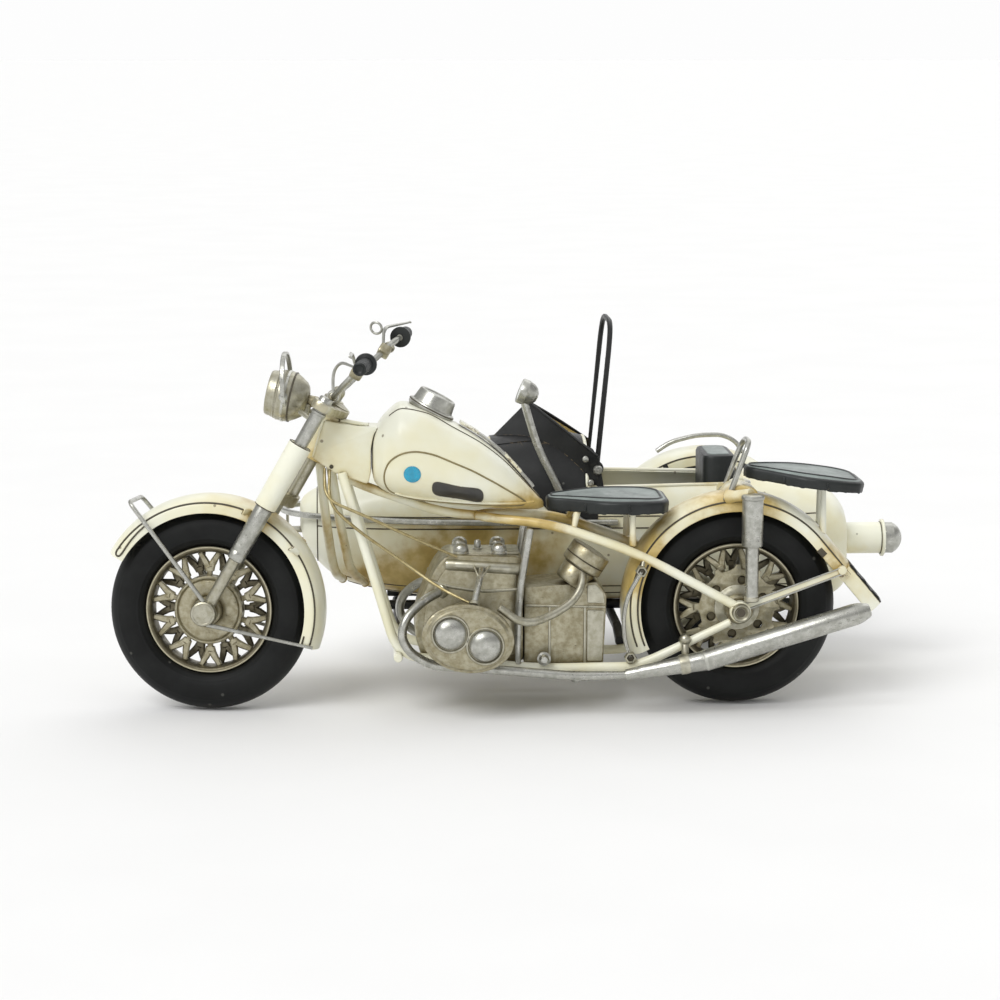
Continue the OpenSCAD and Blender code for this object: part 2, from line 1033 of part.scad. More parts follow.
function hull_ring(x, inset) =
    let (w = hull_half*at(hull_rows, 1, x) - inset, low = at(hull_rows, 2, x) + inset,
        wide = at(hull_rows, 3, x), high = at(hull_rows, 4, x) - inset)
    [
        for (i = [0:39])
            let (a = i*9, p = 2/(a < 180 ? hull_top_power : hull_low_power))
            [x, w*signed_power(cos(a), p),
                wide + (a < 180 ? high - wide : wide - low)*signed_power(sin(a), p)]
    ];
module hull_body() {
    loft([for (x = stops(hull_rows, 2)) hull_ring(x, 0)]);
}
module hull_room() {
    loft([for (x = [for (x = stops(hull_rows, 2)) if (x > -74 && x < 140) x]) hull_ring(x, shell_t)]);
}

// One sheet of the open body, from x[0] to x[1] and from y[0] to y[1]
module hull_sheet(x, y) {
    color(cream)
        at_sidecar()
            intersection() {
                difference() {
                    hull_body();
                    hull_room();
                    translate([cockpit_x[0], -hull_half, cockpit_z])
                        cube([cockpit_x[1] - cockpit_x[0], 2*hull_half, 40]);
                }
                translate([x[0], y[0], 0])
                    cube([x[1] - x[0], y[1] - y[0], 120]);
            }
}

// The nose and the two side sheets meet along soldered seams
nose_x = [-80, -28];
sides_x = [-28, 145];
module hull_nose() {
    hull_sheet(nose_x, [-hull_half - 1, hull_half + 1]);
}
module hull_left() {
    hull_sheet(sides_x, [-hull_half - 1, 0]);
}
module hull_right() {
    hull_sheet(sides_x, [0, hull_half + 1]);
}

bumper_side = [
    [49, -hull_half - 1.1, 63.4], [0, -hull_half - 1.1, 63.6], [-29, -hull_half - 0.4, 64],
    [-48, -24.8, 64.6], [-62, -21, 65], [-72, -17, 65.2], [-80, -11, 65.4], [-84, -3, 65.4]
];
module hull_bumper() {
    color(silver)
        at_sidecar() {
            wire(both_paths(bumper_side), 1.1);
            translate([-82, -5, 56.5])
                cube([6.2, 10, 1.2]);
            translate([-82.6, -5, 56.5])
                cube([1, 10, 8.6]);
        }
}

// Black sheet screen: two wings that meet in a raked ridge
cowl_ridge = [[-1, 0, 92.5], [15, 0, 108.2]];
cowl_end = [[41, -25.4, 89.5], [43, -26, 76]];
module cowl_wing() {
    hull()
        for (p = concat(cowl_ridge, cowl_end))
            translate(p)
                sphere(r = 0.6, $fn = 16);
}
module hoop_screw() {
    across() {
        translate([0, 0, -2.2])
            cylinder(r = screw_r, h = 8.2);
        for (z = [-2.5, 5.3])
            translate([0, 0, z])
                cylinder(r = 1.9, h = 1);
    }
}
// The screen with the two screws that hold the roll hoop
module wind_cowl() {
    color(black)
        at_sidecar() {
            difference() {
                both_sides()
                    cowl_wing();
                hull_body();
            }
            both_sides()
                translate([hoop_x, -hoop_half, hoop_z])
                    hoop_screw();
        }
}

hoop_bend = 9;
hoop_side = [
    [0, -hoop_half, 2], [0, -hoop_half, hoop_h - hoop_bend],
    [0, -hoop_half + hoop_bend*(1 - cos(45)), hoop_h - hoop_bend*(1 - sin(45))],
    [0, -hoop_half + hoop_bend, hoop_h]
];
module roll_hoop() {
    color(black)
        at_sidecar()
            translate([hoop_x, 0, hoop_z])
                rotate([0, hoop_lean, 0]) {
                    wire(both_paths(hoop_side), hoop_r);
                    both_sides()
                        translate([0, -hoop_half, 0])
                            across()
                                difference() {
                                    cylinder(r = 2.4, h = 2.4, center = true);
                                    cylinder(r = screw_r + running, h = 4, center = true);
                                }
                }
}

module sidecar_seat() {
    color(black)
        at_sidecar() {
            translate([84, -15.6, 40])
                cube([13.6, 31.2, 48]);
            translate([60, -21, 40])
                cube([24, 42, 13]);
            translate([62, -11, 30.6])
                cube([30, 22, 9.4]);
        }
}

// Rail over the mudguard: [x, z]
rail_path = [[73, 79.6], [79, 83.6], [90, 86.4], [101, 86.6], [107, 83.6], [110, 78.4]];
module mudguard_rail() {
    color(silver)
        place()
            wire([for (p = rail_path) [p.x, side_wheel_y + 4, p.y]], 1);
}

rail_y = 14;
module sidecar_chassis() {
    color(black)
        at_sidecar() {
            both_sides()
                bar([-42, -rail_y, 28.4], [128, -rail_y, 27.6], 1.9);
            wire([[-38, -side_y + 18, 22.5], [-38, -40, 24.6], [-38, rail_y + 2, 24.6]], 1.9);
            wire([[47.6, -side_y + 16, 20.6], [47.6, -40, 24], [47.6, rail_y + 2, 24]], 1.9);
            bar([side_x, -rail_y - 2, 24], [side_x, 34.6, 24], 1.9);
            translate([side_x - 3, 33, 22.4])
                cube([6, 3.4, 20]);
            // Stub axle with its end nut
            translate([side_x, 34, wheel_r])
                rotate([-90, 0, 0]) {
                    cylinder(r = axle_r, h = 32);
                    translate([0, 0, 29.2])
                        cylinder(r = 4.4, h = 2.8);
                    cylinder(r = 4, h = 9);
                }
            // Legs of the mudguard
            bar([side_x, 34.6, 40], [side_x + 17, side_wheel_y - side_y - guard_half + 0.4, 76], 1);
            bar([side_x, 34.6, 40], [side_x - 17, side_wheel_y - side_y - guard_half + 0.4, 76], 1);
        }
}

tail_z = 51;
module tail_tube() {
    color(cream)
        at_sidecar()
            translate([142, 3, tail_z])
                rotate([0, 90, 0]) {
                    cylinder(r = 6.4, h = 18);
                    translate([0, 0, 17.4])
                        cylinder(r = 7.6, h = 1.2);
                }
}

module tail_lens() {
    color(silver)
        at_sidecar()
            translate([160.6, 3, tail_z])
                rotate([0, 90, 0]) {
                    cylinder(r = 6.3, h = 3.6);
                    intersection() {
                        translate([0, 0, 0.6])
                            sphere(r = 6.9);
                        cylinder(r = 6.3, h = 8);
                    }
                }
}

mast_y = 38;
mast_path = [
    [11.4, mast_y, 112], [16.5, mast_y, 94.5], [24.4, mast_y, 79], [28, mast_y, 69.8],
    [33.6, mast_y, 64.1], [43, mast_y + 0.6, 60.8], [45.4, side_y - hull_half + 0.4, 60.3]
];
module lamp_mast() {
    color(silver)
        place()
            wire(mast_path, 1.5);
}

module search_lamp() {
    color(silver)
        place()
            translate([12.5, mast_y + 1, 115.4])
                rotate([0, -68, 0]) {
                    cylinder(r = 5, h = 3);
                    difference() {
                        sphere(r = 4.8);
                        cylinder(r = 6, h = 6);
                    }
                }
}

// ---------------------------------------------------------------- nodes

front_tyre();
front_wheel();
rear_tyre();
rear_wheel();
sidecar_tyre();
sidecar_wheel();
fork_stem();
fork_tubes();
fork_shrouds();
front_axle();
front_mudguard();
front_stays();
handlebar();
handlebar_grips();
hand_controls();
headlamp_shell();
headlamp_lens();
headlamp_hoop();
neck_gusset();
backbone();
upper_frame();
lower_frame();
sidecar_struts();
fuel_tank();
tank_cap();
tank_badges();
rider_saddle();
pillion_saddle();
saddle_posts();
grab_handle();
rear_mudguard();
mud_flap();
mudguard_stays();
shock_covers();
shock_rods();
rear_axle();
crankcase();
cylinders();
head_covers();
cylinder_nuts();
gearbox();
air_cleaner();
exhaust_pipes();
muffler();
brake_strap();
engine_cables();
hull_nose();
hull_left();
hull_right();
hull_bumper();
wind_cowl();
roll_hoop();
sidecar_seat();
sidecar_mudguard();
mudguard_rail();
sidecar_chassis();
tail_tube();
tail_lens();
lamp_mast();
search_lamp();
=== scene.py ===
"""The looks of a handmade tin motorcycle with a sidecar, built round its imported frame."""
import json
import math

import bmesh
import bpy
import numpy as np
from mathutils import Matrix, Vector
from mathutils.geometry import tessellate_polygon


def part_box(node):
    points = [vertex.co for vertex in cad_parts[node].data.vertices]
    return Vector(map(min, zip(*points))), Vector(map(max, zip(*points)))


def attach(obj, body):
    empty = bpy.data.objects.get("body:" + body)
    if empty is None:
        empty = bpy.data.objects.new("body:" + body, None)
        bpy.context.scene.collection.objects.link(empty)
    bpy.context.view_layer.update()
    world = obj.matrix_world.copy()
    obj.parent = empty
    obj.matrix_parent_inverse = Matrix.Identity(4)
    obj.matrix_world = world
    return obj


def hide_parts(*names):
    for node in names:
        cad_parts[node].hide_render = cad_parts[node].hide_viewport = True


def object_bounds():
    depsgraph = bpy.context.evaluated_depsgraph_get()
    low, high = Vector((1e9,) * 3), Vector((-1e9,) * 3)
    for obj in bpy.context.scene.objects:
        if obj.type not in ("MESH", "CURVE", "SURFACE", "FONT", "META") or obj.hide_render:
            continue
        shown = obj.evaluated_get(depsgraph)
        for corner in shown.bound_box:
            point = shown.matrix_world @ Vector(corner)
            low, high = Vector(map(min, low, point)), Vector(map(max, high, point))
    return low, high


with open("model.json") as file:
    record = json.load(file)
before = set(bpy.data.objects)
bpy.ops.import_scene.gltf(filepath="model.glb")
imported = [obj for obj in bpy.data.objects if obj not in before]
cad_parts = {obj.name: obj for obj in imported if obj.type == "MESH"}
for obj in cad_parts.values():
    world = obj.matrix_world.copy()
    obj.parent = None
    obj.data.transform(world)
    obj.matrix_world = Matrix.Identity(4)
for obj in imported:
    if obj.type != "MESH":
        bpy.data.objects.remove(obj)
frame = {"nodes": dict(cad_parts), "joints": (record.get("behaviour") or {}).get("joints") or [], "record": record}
cad_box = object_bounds()

MM = 0.001
TAU = 2 * math.pi


# ---------------------------------------------------------------- places

# All shapes are in the motorcycle's own frame, in mm. x runs back, y to the sidecar and z up, from
# the ground in the middle plane. The middle of the rear tyre ties that frame to the model.
REAR_WHEEL = Vector((90, 0, 38.5))
low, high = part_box("rear_tyre")
ORIGIN = (low + high) / 2 - REAR_WHEEL * MM
low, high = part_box("sidecar_tyre")
SIDE_WHEEL = ((low + high) / 2 - ORIGIN) / MM
SIDE_Y = 69.0
joints = {j["name"]: j for j in frame["joints"]}


def joint_point(name):
    return (Vector(joints[name]["pos_m"]) - ORIGIN) / MM


def axes(x, y, z, origin):
    """The matrix of a frame with these axes."""
    return Matrix((
        (x.x, y.x, z.x, origin.x), (x.y, y.y, z.y, origin.y), (x.z, y.z, z.z, origin.z), (0, 0, 0, 1)
    ))


def move(x, y, z):
    return Matrix.Translation((x, y, z))


def turn(degrees, axis):
    return Matrix.Rotation(math.radians(degrees), 4, axis)


steer_axis = Vector(joints["steering_turn"]["axis"]).normalized()
spin_axis = Vector(joints["front_wheel_spin"]["axis"]).normalized()
FORK = axes(spin_axis.cross(steer_axis).normalized(), spin_axis, steer_axis, joint_point("steering_turn"))
ACROSS = turn(-90, "X")
SIDECAR = move(0, SIDE_Y, 0)
HERE = Matrix.Identity(4)
FLIP_Y = Matrix.Scale(-1, 4, (0, 1, 0))


def facing(side):
    """Turns a shape over to the other side of its wheel where side is -1."""
    return Matrix.Scale(side, 4, (0, 0, 1))


def aim(start, end):
    """The matrix that puts local +Z along start to end, from start."""
    start, end = Vector(start), Vector(end)
    return Matrix.Translation(start) @ (end - start).to_track_quat("Z", "Y").to_matrix().to_4x4()


# ---------------------------------------------------------------- shapes: (points, faces)

def skin(rows, around=True, along=False, caps=True):
    """Quads over rows of points. around closes each row and along joins the last row to the first."""
    count = len(rows[0])
    points = [Vector(p) for row in rows for p in row]
    faces = []
    for i in range(len(rows) if along else len(rows) - 1):
        a, b = i * count, (i + 1) % len(rows) * count
        for j in range(count if around else count - 1):
            k = (j + 1) % count
            faces.append((a + j, a + k, b + k, b + j))
    if caps and around and not along:
        faces.append(tuple(reversed(range(count))))
        faces.append(tuple(range(len(points) - count, len(points))))
    return points, faces


def weld(shape):
    """Joins points that lie on each other, and drops the faces that this closes."""
    seen, number, points, faces = {}, [], [], []
    for p in shape[0]:
        key = (round(p.x, 4), round(p.y, 4), round(p.z, 4))
        if key not in seen:
            seen[key] = len(points)
            points.append(p)
        number.append(seen[key])
    for face in shape[1]:
        ids = []
        for i in face:
            if number[i] not in ids:
                ids.append(number[i])
        if len(ids) > 2:
            faces.append(tuple(ids))
    return points, faces


def moved(shape, matrix):
    return [matrix @ Vector(p) for p in shape[0]], shape[1]


def rounded(points, cut, steps=4, closed=False):
    """The same line with each corner turned into a curve that starts cut before it."""
    points = [Vector(p) for p in points]
    out = []
    for i, p in enumerate(points):
        if not closed and i in (0, len(points) - 1):
            out.append(p)
            continue
        a, b = points[i - 1] - p, points[(i + 1) % len(points)] - p
        c = min(cut, a.length * 0.48, b.length * 0.48)
        start, end = p + a.normalized() * c, p + b.normalized() * c
        for k in range(steps + 1):
            t = k / steps
            out.append(start * (1 - t) ** 2 + p * (2 * t * (1 - t)) + end * t ** 2)
    return out


def circle(radius, count=48, centre=(0, 0)):
    return [Vector((centre[0] + radius * math.cos(TAU * i / count), centre[1] + radius
        * math.sin(TAU * i / count))) for i in range(count)]


def lathe(profile, sides=48, ring=False, wide=1.0):
    """Turns a line of (radius, height) round Z. ring closes the line on itself; wide stretches along X."""
    rows = [
        [(r * math.cos(TAU * i / sides) * wide, r * math.sin(TAU * i / sides), z) for i in range(sides)]
        for r, z in profile
    ]
    return weld(skin(rows, along=ring, caps=False))


def rod(start, end, r1, r2=None, soft=0.3, sides=28):
    """A round bar or cone from start to end with softened edges."""
    r2 = r1 if r2 is None else r2
    length = (Vector(end) - Vector(start)).length
    s = min(soft, r1 * 0.6, r2 * 0.6, length * 0.3)
    profile = [(0, 0), (r1 - s, 0), (r1 - s * 0.3, s * 0.3), (r1, s), (r2, length - s),
        (r2 - s * 0.3, length - s * 0.3), (r2 - s, length), (0, length)]
    return moved(lathe(profile, sides), aim(start, end))


def turned(start, end, profile, sides=40, soft=0.0, ring=False):
    """A lathe profile along the line from start to end; its heights are mm from start."""
    profile = rounded(profile, soft, 3, ring) if soft else profile
    return moved(lathe(profile, sides, ring), aim(start, end))


def tube(path, radius, bend=6.0, sides=16, steps=5, section=None, up=None, closed=False, taper=None):
    """Sweeps a circle, or a section of (side, up) points, along a line whose corners are rounded."""
    points = rounded(path, bend, steps, closed)
    points = [p for i, p in enumerate(points) if i == 0 or (p - points[i - 1]).length > 1e-3]
    count = len(points)
    section = section or [(radius * c.x, radius * c.y) for c in circle(1, sides)]
    rows, last = [], None
    for i, p in enumerate(points):
        before = points[i - 1] if closed or i else p
        after = points[(i + 1) % count] if closed or i < count - 1 else p
        t = (after - before).normalized()
        if up is not None:
            side = t.cross(Vector(up)).normalized()
        elif last is None:
            side = t.orthogonal().normalized()
        else:
            side = (last - t * last.dot(t)).normalized()
        last = side
        over = side.cross(t)
        k = 1 if taper is None else taper(i / (count - 1))
        rows.append((p, t, [p + side * (u * k) + over * (v * k) for u, v in section]))
    if closed:
        return skin([r[2] for r in rows], along=True)
    lip = min(0.35, radius * 0.3)
    shrink = 1 - lip / max(radius, 0.01)
    for k, at in ((0, 0), (-1, len(rows))):
        p, t, ring = rows[k]
        inward = t * (lip if k == 0 else -lip)
        small = [p + (q - p) * shrink for q in ring]
        rows[k] = (p, t, [q + inward for q in ring])
        rows.insert(at, (p, t, small))
    return skin([r[2] for r in rows])


def slab(width, height, corner=0.35):
    """A flat section with cut corners, for tube()."""
    w, h, c = width / 2, height / 2, min(corner, width * 0.3, height * 0.3)
    return [(w, -h + c), (w, h - c), (w - c, h), (c - w, h), (-w, h - c), (-w, c - h), (c - w, -h),
        (w - c, -h)]


def inset(loop, amount):
    """The loop moved to its left by amount, which is inwards where it runs counter-clockwise."""
    out = []
    for i, p in enumerate(loop):
        a, b = (p - loop[i - 1]).normalized(), (loop[(i + 1) % len(loop)] - p).normalized()
        n1, n2 = Vector((-a.y, a.x)), Vector((-b.y, b.x))
        out.append(p + (n1 + n2) * (amount / max(0.4, 1 + n1.dot(n2))))
    return out


def area(loop):
    return sum(a.x * b.y - b.x * a.y for a, b in zip(loop, loop[1:] + loop[:1])) / 2


def plate(outline, low, high, holes=(), soft=0.35, corner=0.0):
    """A flat plate with softened edges, in (u, v, w); w runs from low to high."""
    loops = []
    for k, loop in enumerate([outline, *holes]):
        loop = [Vector(p) for p in loop]
        if corner and k == 0:
            loop = rounded(loop, corner, 3, closed=True)
        if (area(loop) > 0) != (k == 0):
            loop.reverse()
        loops.append(loop)
    soft = min(soft, (high - low) * 0.4)
    levels = [(soft, low), (soft * 0.3, low + soft * 0.3), (0, low + soft), (0, high - soft),
        (soft * 0.3, high - soft * 0.3), (soft, high)]
    points, faces, caps = [], [], [[], []]
    for loop in loops:
        n, base = len(loop), len(points)
        for amount, w in levels:
            points += [Vector((p.x, p.y, w)) for p in inset(loop, amount)]
        for i in range(len(levels) - 1):
            for j in range(n):
                k = (j + 1) % n
                faces.append((base + i * n + j, base + i * n + k, base + (i + 1) * n + k, base + (i + 1)
                    * n + j))
        caps[0].append([base + j for j in range(n)])
        caps[1].append([base + (len(levels) - 1) * n + j for j in range(n)])
    for k, rings in enumerate(caps):
        flat = [i for ring in rings for i in ring]
        for tri in tessellate_polygon([[points[i] for i in ring] for ring in rings]):
            faces.append(tuple(flat[i] for i in (reversed(tri) if k == 0 else tri)))
    return points, faces


UPRIGHT = Matrix(((1, 0, 0, 0), (0, 0, 1, 0), (0, 1, 0, 0), (0, 0, 0, 1)))


def side_plate(outline, low, high, holes=(), soft=0.35, corner=0.0):
    """A plate whose outline is (x, z), from y low to y high."""
    return moved(plate(outline, low, high, holes, soft, corner), UPRIGHT)


def sheet(rows, thick, around=False, along=False):
    """A bent sheet: rows of points on one face, and the other face thick behind it."""
    grid = np.array([[tuple(p) for p in row] for row in rows], float)

    def slope(axis, wrap):
        if wrap:
            return np.roll(grid, -1, axis) - np.roll(grid, 1, axis)
        return np.gradient(grid, axis=axis)

    normal = np.cross(slope(0, along), slope(1, around))
    normal /= np.maximum(np.linalg.norm(normal, axis=2, keepdims=True), 1e-9)
    back = grid - normal * thick
    r, c = grid.shape[:2]
    points = [Vector(p) for p in grid.reshape(-1, 3)] + [Vector(p) for p in back.reshape(-1, 3)]
    faces, half = [], r * c
    for i in range(r if along else r - 1):
        for j in range(c if around else c - 1):
            a, b = i * c + j, i * c + (j + 1) % c
            d, e = (i + 1) % r * c + j, (i + 1) % r * c + (j + 1) % c
            faces.append((a, b, e, d))
            faces.append((half + a, half + d, half + e, half + b))
    if not along:
        for i, turnround in ((0, True), (r - 1, False)):
            for j in range(c if around else c - 1):
                a, b = i * c + j, i * c + (j + 1) % c
                face = (a, b, half + b, half + a)
                faces.append(tuple(reversed(face)) if turnround else face)
    if not around:
        for j, turnround in ((0, False), (c - 1, True)):
            for i in range(r if along else r - 1):
                a, b = i * c + j, (i + 1) % r * c + j
                face = (a, b, half + b, half + a)
                faces.append(tuple(reversed(face)) if turnround else face)
    return points, faces


def ball(centre, radius, sides=28, squash=1.0):
    profile = [(radius * math.cos(a), radius * math.sin(a) * squash)
        for a in np.linspace(-math.pi / 2, math.pi / 2, 15)]
    return moved(lathe(profile, sides), move(*centre))


def ring(centre, axis, radius, wire, sides=32):
    """A wire ring round an axis."""
    profile = [(radius + wire * math.cos(a), wire * math.sin(a)) for a in np.linspace(0, TAU, 13)[:-1]]
    return moved(lathe(profile, sides, ring=True), aim(centre, Vector(centre) + Vector(axis)))


def curve(table, column):
    """A smooth line through table's (x, ..., value) rows that never swings past them."""
    xs = np.array([row[0] for row in table], float)
    ys = np.array([row[column] for row in table], float)
    step = np.diff(ys) / np.diff(xs)
    slope = np.concatenate(([step[0]], (step[:-1] + step[1:]) / 2, [step[-1]]))
    for i in range(1, len(xs) - 1):
        if step[i - 1] * step[i] <= 0:
            slope[i] = 0
        else:
            slope[i] = 2 * step[i - 1] * step[i] / (step[i - 1] + step[i])

    def at(x):
        i = int(np.clip(np.searchsorted(xs, x) - 1, 0, len(xs) - 2))
        h = xs[i + 1] - xs[i]
        t = min(1.0, max(0.0, (x - xs[i]) / h))
        return ((1 + 2 * t) * (1 - t) ** 2 * ys[i] + t * (1 - t) ** 2 * h * slope[i] + t * t * (3 - 2 * t)
            * ys[i + 1] + t * t * (t - 1) * h * slope[i + 1])

    return at


def power(value, exponent):
    return math.copysign(abs(value) ** exponent, value)


def both(path):
    """A line on the near side, and the same line mirrored on the far side."""
    return [path, [(x, -y, z) for x, y, z in path]]


def joined(path):
    """A line on the near side that carries on, mirrored, along the far side."""
    return list(path) + [(x, -y, z) for x, y, z in reversed(path)]


# ---------------------------------------------------------------- materials

class Paint:
    """A node material, written as short calls."""

    def __init__(self, name):
        self.material = bpy.data.materials.new(name)
        self.material.use_nodes = True
        self.nodes = self.material.node_tree.nodes
        self.links = self.material.node_tree.links
        self.shader = self.nodes["Principled BSDF"]
        self.where = self.nodes.new("ShaderNodeTexCoord").outputs["Object"]

    def put(self, socket, value):
        if isinstance(value, bpy.types.NodeSocket):
            self.links.new(value, socket)
        elif isinstance(value, tuple) and len(value) == 3 and socket.type == "RGBA":
            socket.default_value = (*value, 1)
        else:
            socket.default_value = value

    def node(self, kind, sets=None, **inputs):
        made = self.nodes.new(kind)
        for key, value in (sets or {}).items():
            setattr(made, key, value)
        for key, value in inputs.items():
            self.put(made.inputs[key.replace("_", " ")], value)
        return made

    def noise(self, size, detail=4.0, rough=0.55, stretch=None, warp=0.0):
        """Noise whose blotches are about size mm across; stretch is (x, y, z)."""
        where = self.where
        if stretch:
            made = self.node("ShaderNodeMapping", Vector=where)
            made.inputs["Scale"].default_value = stretch
            where = made.outputs[0]
        made = self.node("ShaderNodeTexNoise", Vector=where, Scale=1000 / size, Detail=detail,
            Roughness=rough, Distortion=warp)
        return made.outputs["Fac"]

    def math(self, operation, a, b=0.0, clamp=False):
        made = self.nodes.new("ShaderNodeMath")
        made.operation, made.use_clamp = operation, clamp
        self.put(made.inputs[0], a)
        self.put(made.inputs[1], b)
        return made.outputs[0]

    def times(self, a, b, clamp=False):
        return self.math("MULTIPLY", a, b, clamp)

    def plus(self, a, b, clamp=False):
        return self.math("ADD", a, b, clamp)

    def minus(self, a, b, clamp=False):
        return self.math("SUBTRACT", a, b, clamp)

    def span(self, value, low, high, start=0.0, end=1.0):
        """value from low..high to start..end, smoothly and clamped."""
        made = self.node("ShaderNodeMapRange", {"interpolation_type": "SMOOTHSTEP"}, Value=value,
            From_Min=low, From_Max=high, To_Min=start, To_Max=end)
        return made.outputs["Result"]

    def mix(self, share, a, b):
        made = self.nodes.new("ShaderNodeMix")
        made.data_type = "RGBA"
        self.put(made.inputs[0], share)
        self.put(made.inputs[6], a)
        self.put(made.inputs[7], b)
        return made.outputs[2]

    def attribute(self, name):
        return self.node("ShaderNodeAttribute", {"attribute_name": name}).outputs["Fac"]

    def crease(self, distance, samples=6):
        """1 deep in a corner and 0 out in the open."""
        made = self.node("ShaderNodeAmbientOcclusion", {"samples": samples}, Distance=distance * MM)
        return self.minus(1.0, made.outputs["AO"], clamp=True)

    def edge(self, distance, samples=6):
        """1 on an outer edge and 0 on a flat face."""
        made = self.node("ShaderNodeAmbientOcclusion", {"samples": samples, "inside": True},
            Distance=distance * MM)
        return self.minus(1.0, made.outputs["AO"], clamp=True)

    def specks(self, size, share):
        """Small dots that cover a share of the cells."""
        made = self.node("ShaderNodeTexVoronoi", Vector=self.where, Scale=1000 / size)
        dot = self.span(made.outputs["Distance"], 0.10, 0.17, 1.0, 0.0)
        pick = self.node("ShaderNodeSeparateColor", Color=made.outputs["Color"]).outputs[0]
        return self.times(dot, self.span(pick, 1 - share, 1 - share + 0.02))

    def bump(self, *layers):
        """layers are (height, strength, depth in mm), the finest last."""
        normal = None
        for height, strength, depth in layers:
            made = self.node("ShaderNodeBump", Height=height, Strength=strength, Distance=depth * MM)
            if normal is not None:
                self.links.new(normal, made.inputs["Normal"])
            normal = made.outputs[0]
        self.links.new(normal, self.shader.inputs["Normal"])

    def finish(self, color, roughness, **constants):
        self.put(self.shader.inputs["Base Color"], color)
        self.put(self.shader.inputs["Roughness"], roughness)
        for key, value in constants.items():
            self.shader.inputs[key.replace("_", " ")].default_value = value
        return self.material


def cream_enamel(name, clean, aged, spread):
    """Old cream enamel: ochre where it aged, painted shade darkening the tight corners, chipped on the edges."""
    p = Paint(name)
    broad, blotch, fine = p.noise(26, 3), p.noise(7, 4), p.noise(1.6, 5)
    crease, tight = p.crease(5), p.crease(1.3)
    base = p.mix(p.span(broad, 0.35, 0.7), clean, aged)
    uneven = p.plus(p.times(p.minus(broad, 0.5), 0.7), p.times(p.minus(blotch, 0.5), 0.6))
    amount = p.plus(p.plus(p.attribute("stain"), uneven), p.times(crease, spread))
    old = p.mix(p.span(blotch, 0.35, 0.7), (0.64, 0.47, 0.15), (0.44, 0.30, 0.065))
    color = p.mix(p.span(amount, 0.12, 0.42, 0.0, 0.34), base, (0.70, 0.60, 0.30))
    color = p.mix(p.span(amount, 0.38, 0.8, 0.0, 0.92), color, old)
    # Painted shade: the tight corners darken almost to black.
    color = p.mix(p.span(p.plus(tight, p.times(p.minus(fine, 0.5), 0.5)), 0.42, 0.8, 0.0, 0.86), color,
        (0.05, 0.038, 0.018))
    worn = p.times(p.edge(0.4), p.span(p.noise(3.0, 5, 0.7), 0.46, 0.58))
    color = p.mix(p.span(worn, 0.42, 0.7, 0.0, 0.85), color, (0.16, 0.105, 0.045))
    color = p.mix(p.times(p.specks(4.5, 0.10), 0.7), color, (0.12, 0.08, 0.03))
    p.bump((broad, 0.25, 0.5), (p.noise(0.8, 3), 0.12, 0.06), (worn, 0.3, -0.1))
    return p.finish(color, p.span(blotch, 0.3, 0.7, 0.30, 0.46), Coat_Weight=0.25, Coat_Roughness=0.2)


def metal(name, bright, dull, dirt_and_shade, rough, scratch=1.0, corner_shade=1.0):
    """Soft bare metal: mottled, scratched, brown with dirt and painted shade in the corners, and rubbed on the
    edges.
    """
    p = Paint(name)
    broad, blotch = p.noise(12, 4), p.noise(2.6, 6, 0.65)
    crease, tight = p.crease(4), p.crease(1.1)
    color = p.mix(p.span(blotch, 0.3, 0.72), bright, dull)
    # Painted shade: the corners darken towards the dirt colour, mixed in with broad random dirt.
    depth = p.plus(p.times(crease, 0.75 * corner_shade), p.times(p.minus(broad, 0.45), 0.9))
    color = p.mix(p.span(depth, 0.12, 0.75, 0.0, 0.8), color, dirt_and_shade)
    # Painted shade: the tight corners darken almost to black.
    color = p.mix(p.span(tight, 0.35, 0.8, 0.0, 0.9), color, tuple(c * 0.16 for c in dirt_and_shade))
    marks = p.times(p.span(p.noise(1.5, 6, 0.7, (1, 1, 4), 0.6), 0.60, 0.66), p.span(broad, 0.42, 0.6))
    color = p.mix(p.times(marks, 0.75 * scratch, clamp=True), color, (0.03, 0.028, 0.022))
    color = p.mix(p.span(p.edge(0.6), 0.35, 0.75, 0.0, 0.55), color,
        tuple(min(1, c * 1.35) for c in bright))
    p.bump((broad, 0.3, 0.5), (blotch, 0.22, 0.18), (marks, 0.5, -0.12))
    gloss = p.plus(p.span(blotch, 0.3, 0.7, rough - 0.07, rough + 0.1), p.times(crease, 0.2), clamp=True)
    p.put(p.shader.inputs["Metallic"], p.span(tight, 0.3, 0.9, 0.92, 0.35))
    return p.finish(color, gloss)


def black_enamel(name, shade, rough, rubbed):
    """Black enamel over sheet, rubbed grey and brown on its edges."""
    p = Paint(name)
    broad, fine = p.noise(15, 4), p.noise(2.0, 6, 0.7)
    color = p.mix(p.span(broad, 0.3, 0.7), shade, tuple(c * 1.8 + 0.004 for c in shade))
    scuff = p.span(p.noise(1.1, 6, 0.75, (1, 1, 3)), 0.62, 0.70)
    color = p.mix(p.times(scuff, p.span(broad, 0.45, 0.6, 0.0, 0.35)), color, (0.16, 0.17, 0.15))
    worn = p.times(p.edge(0.3), p.span(fine, 0.48, 0.60))
    color = p.mix(p.span(worn, 0.4, 0.75, 0.0, rubbed), color, (0.20, 0.15, 0.08))
    color = p.mix(p.times(p.specks(6, 0.12), 0.5), color, (0.3, 0.3, 0.27))
    p.bump((broad, 0.4, 0.7), (fine, 0.12, 0.1), (worn, 0.3, -0.08))
    return p.finish(color, p.span(fine, 0.3, 0.7, rough, rough + 0.16), Coat_Weight=0.05,
        Coat_Roughness=0.3, Specular_IOR_Level=0.35)


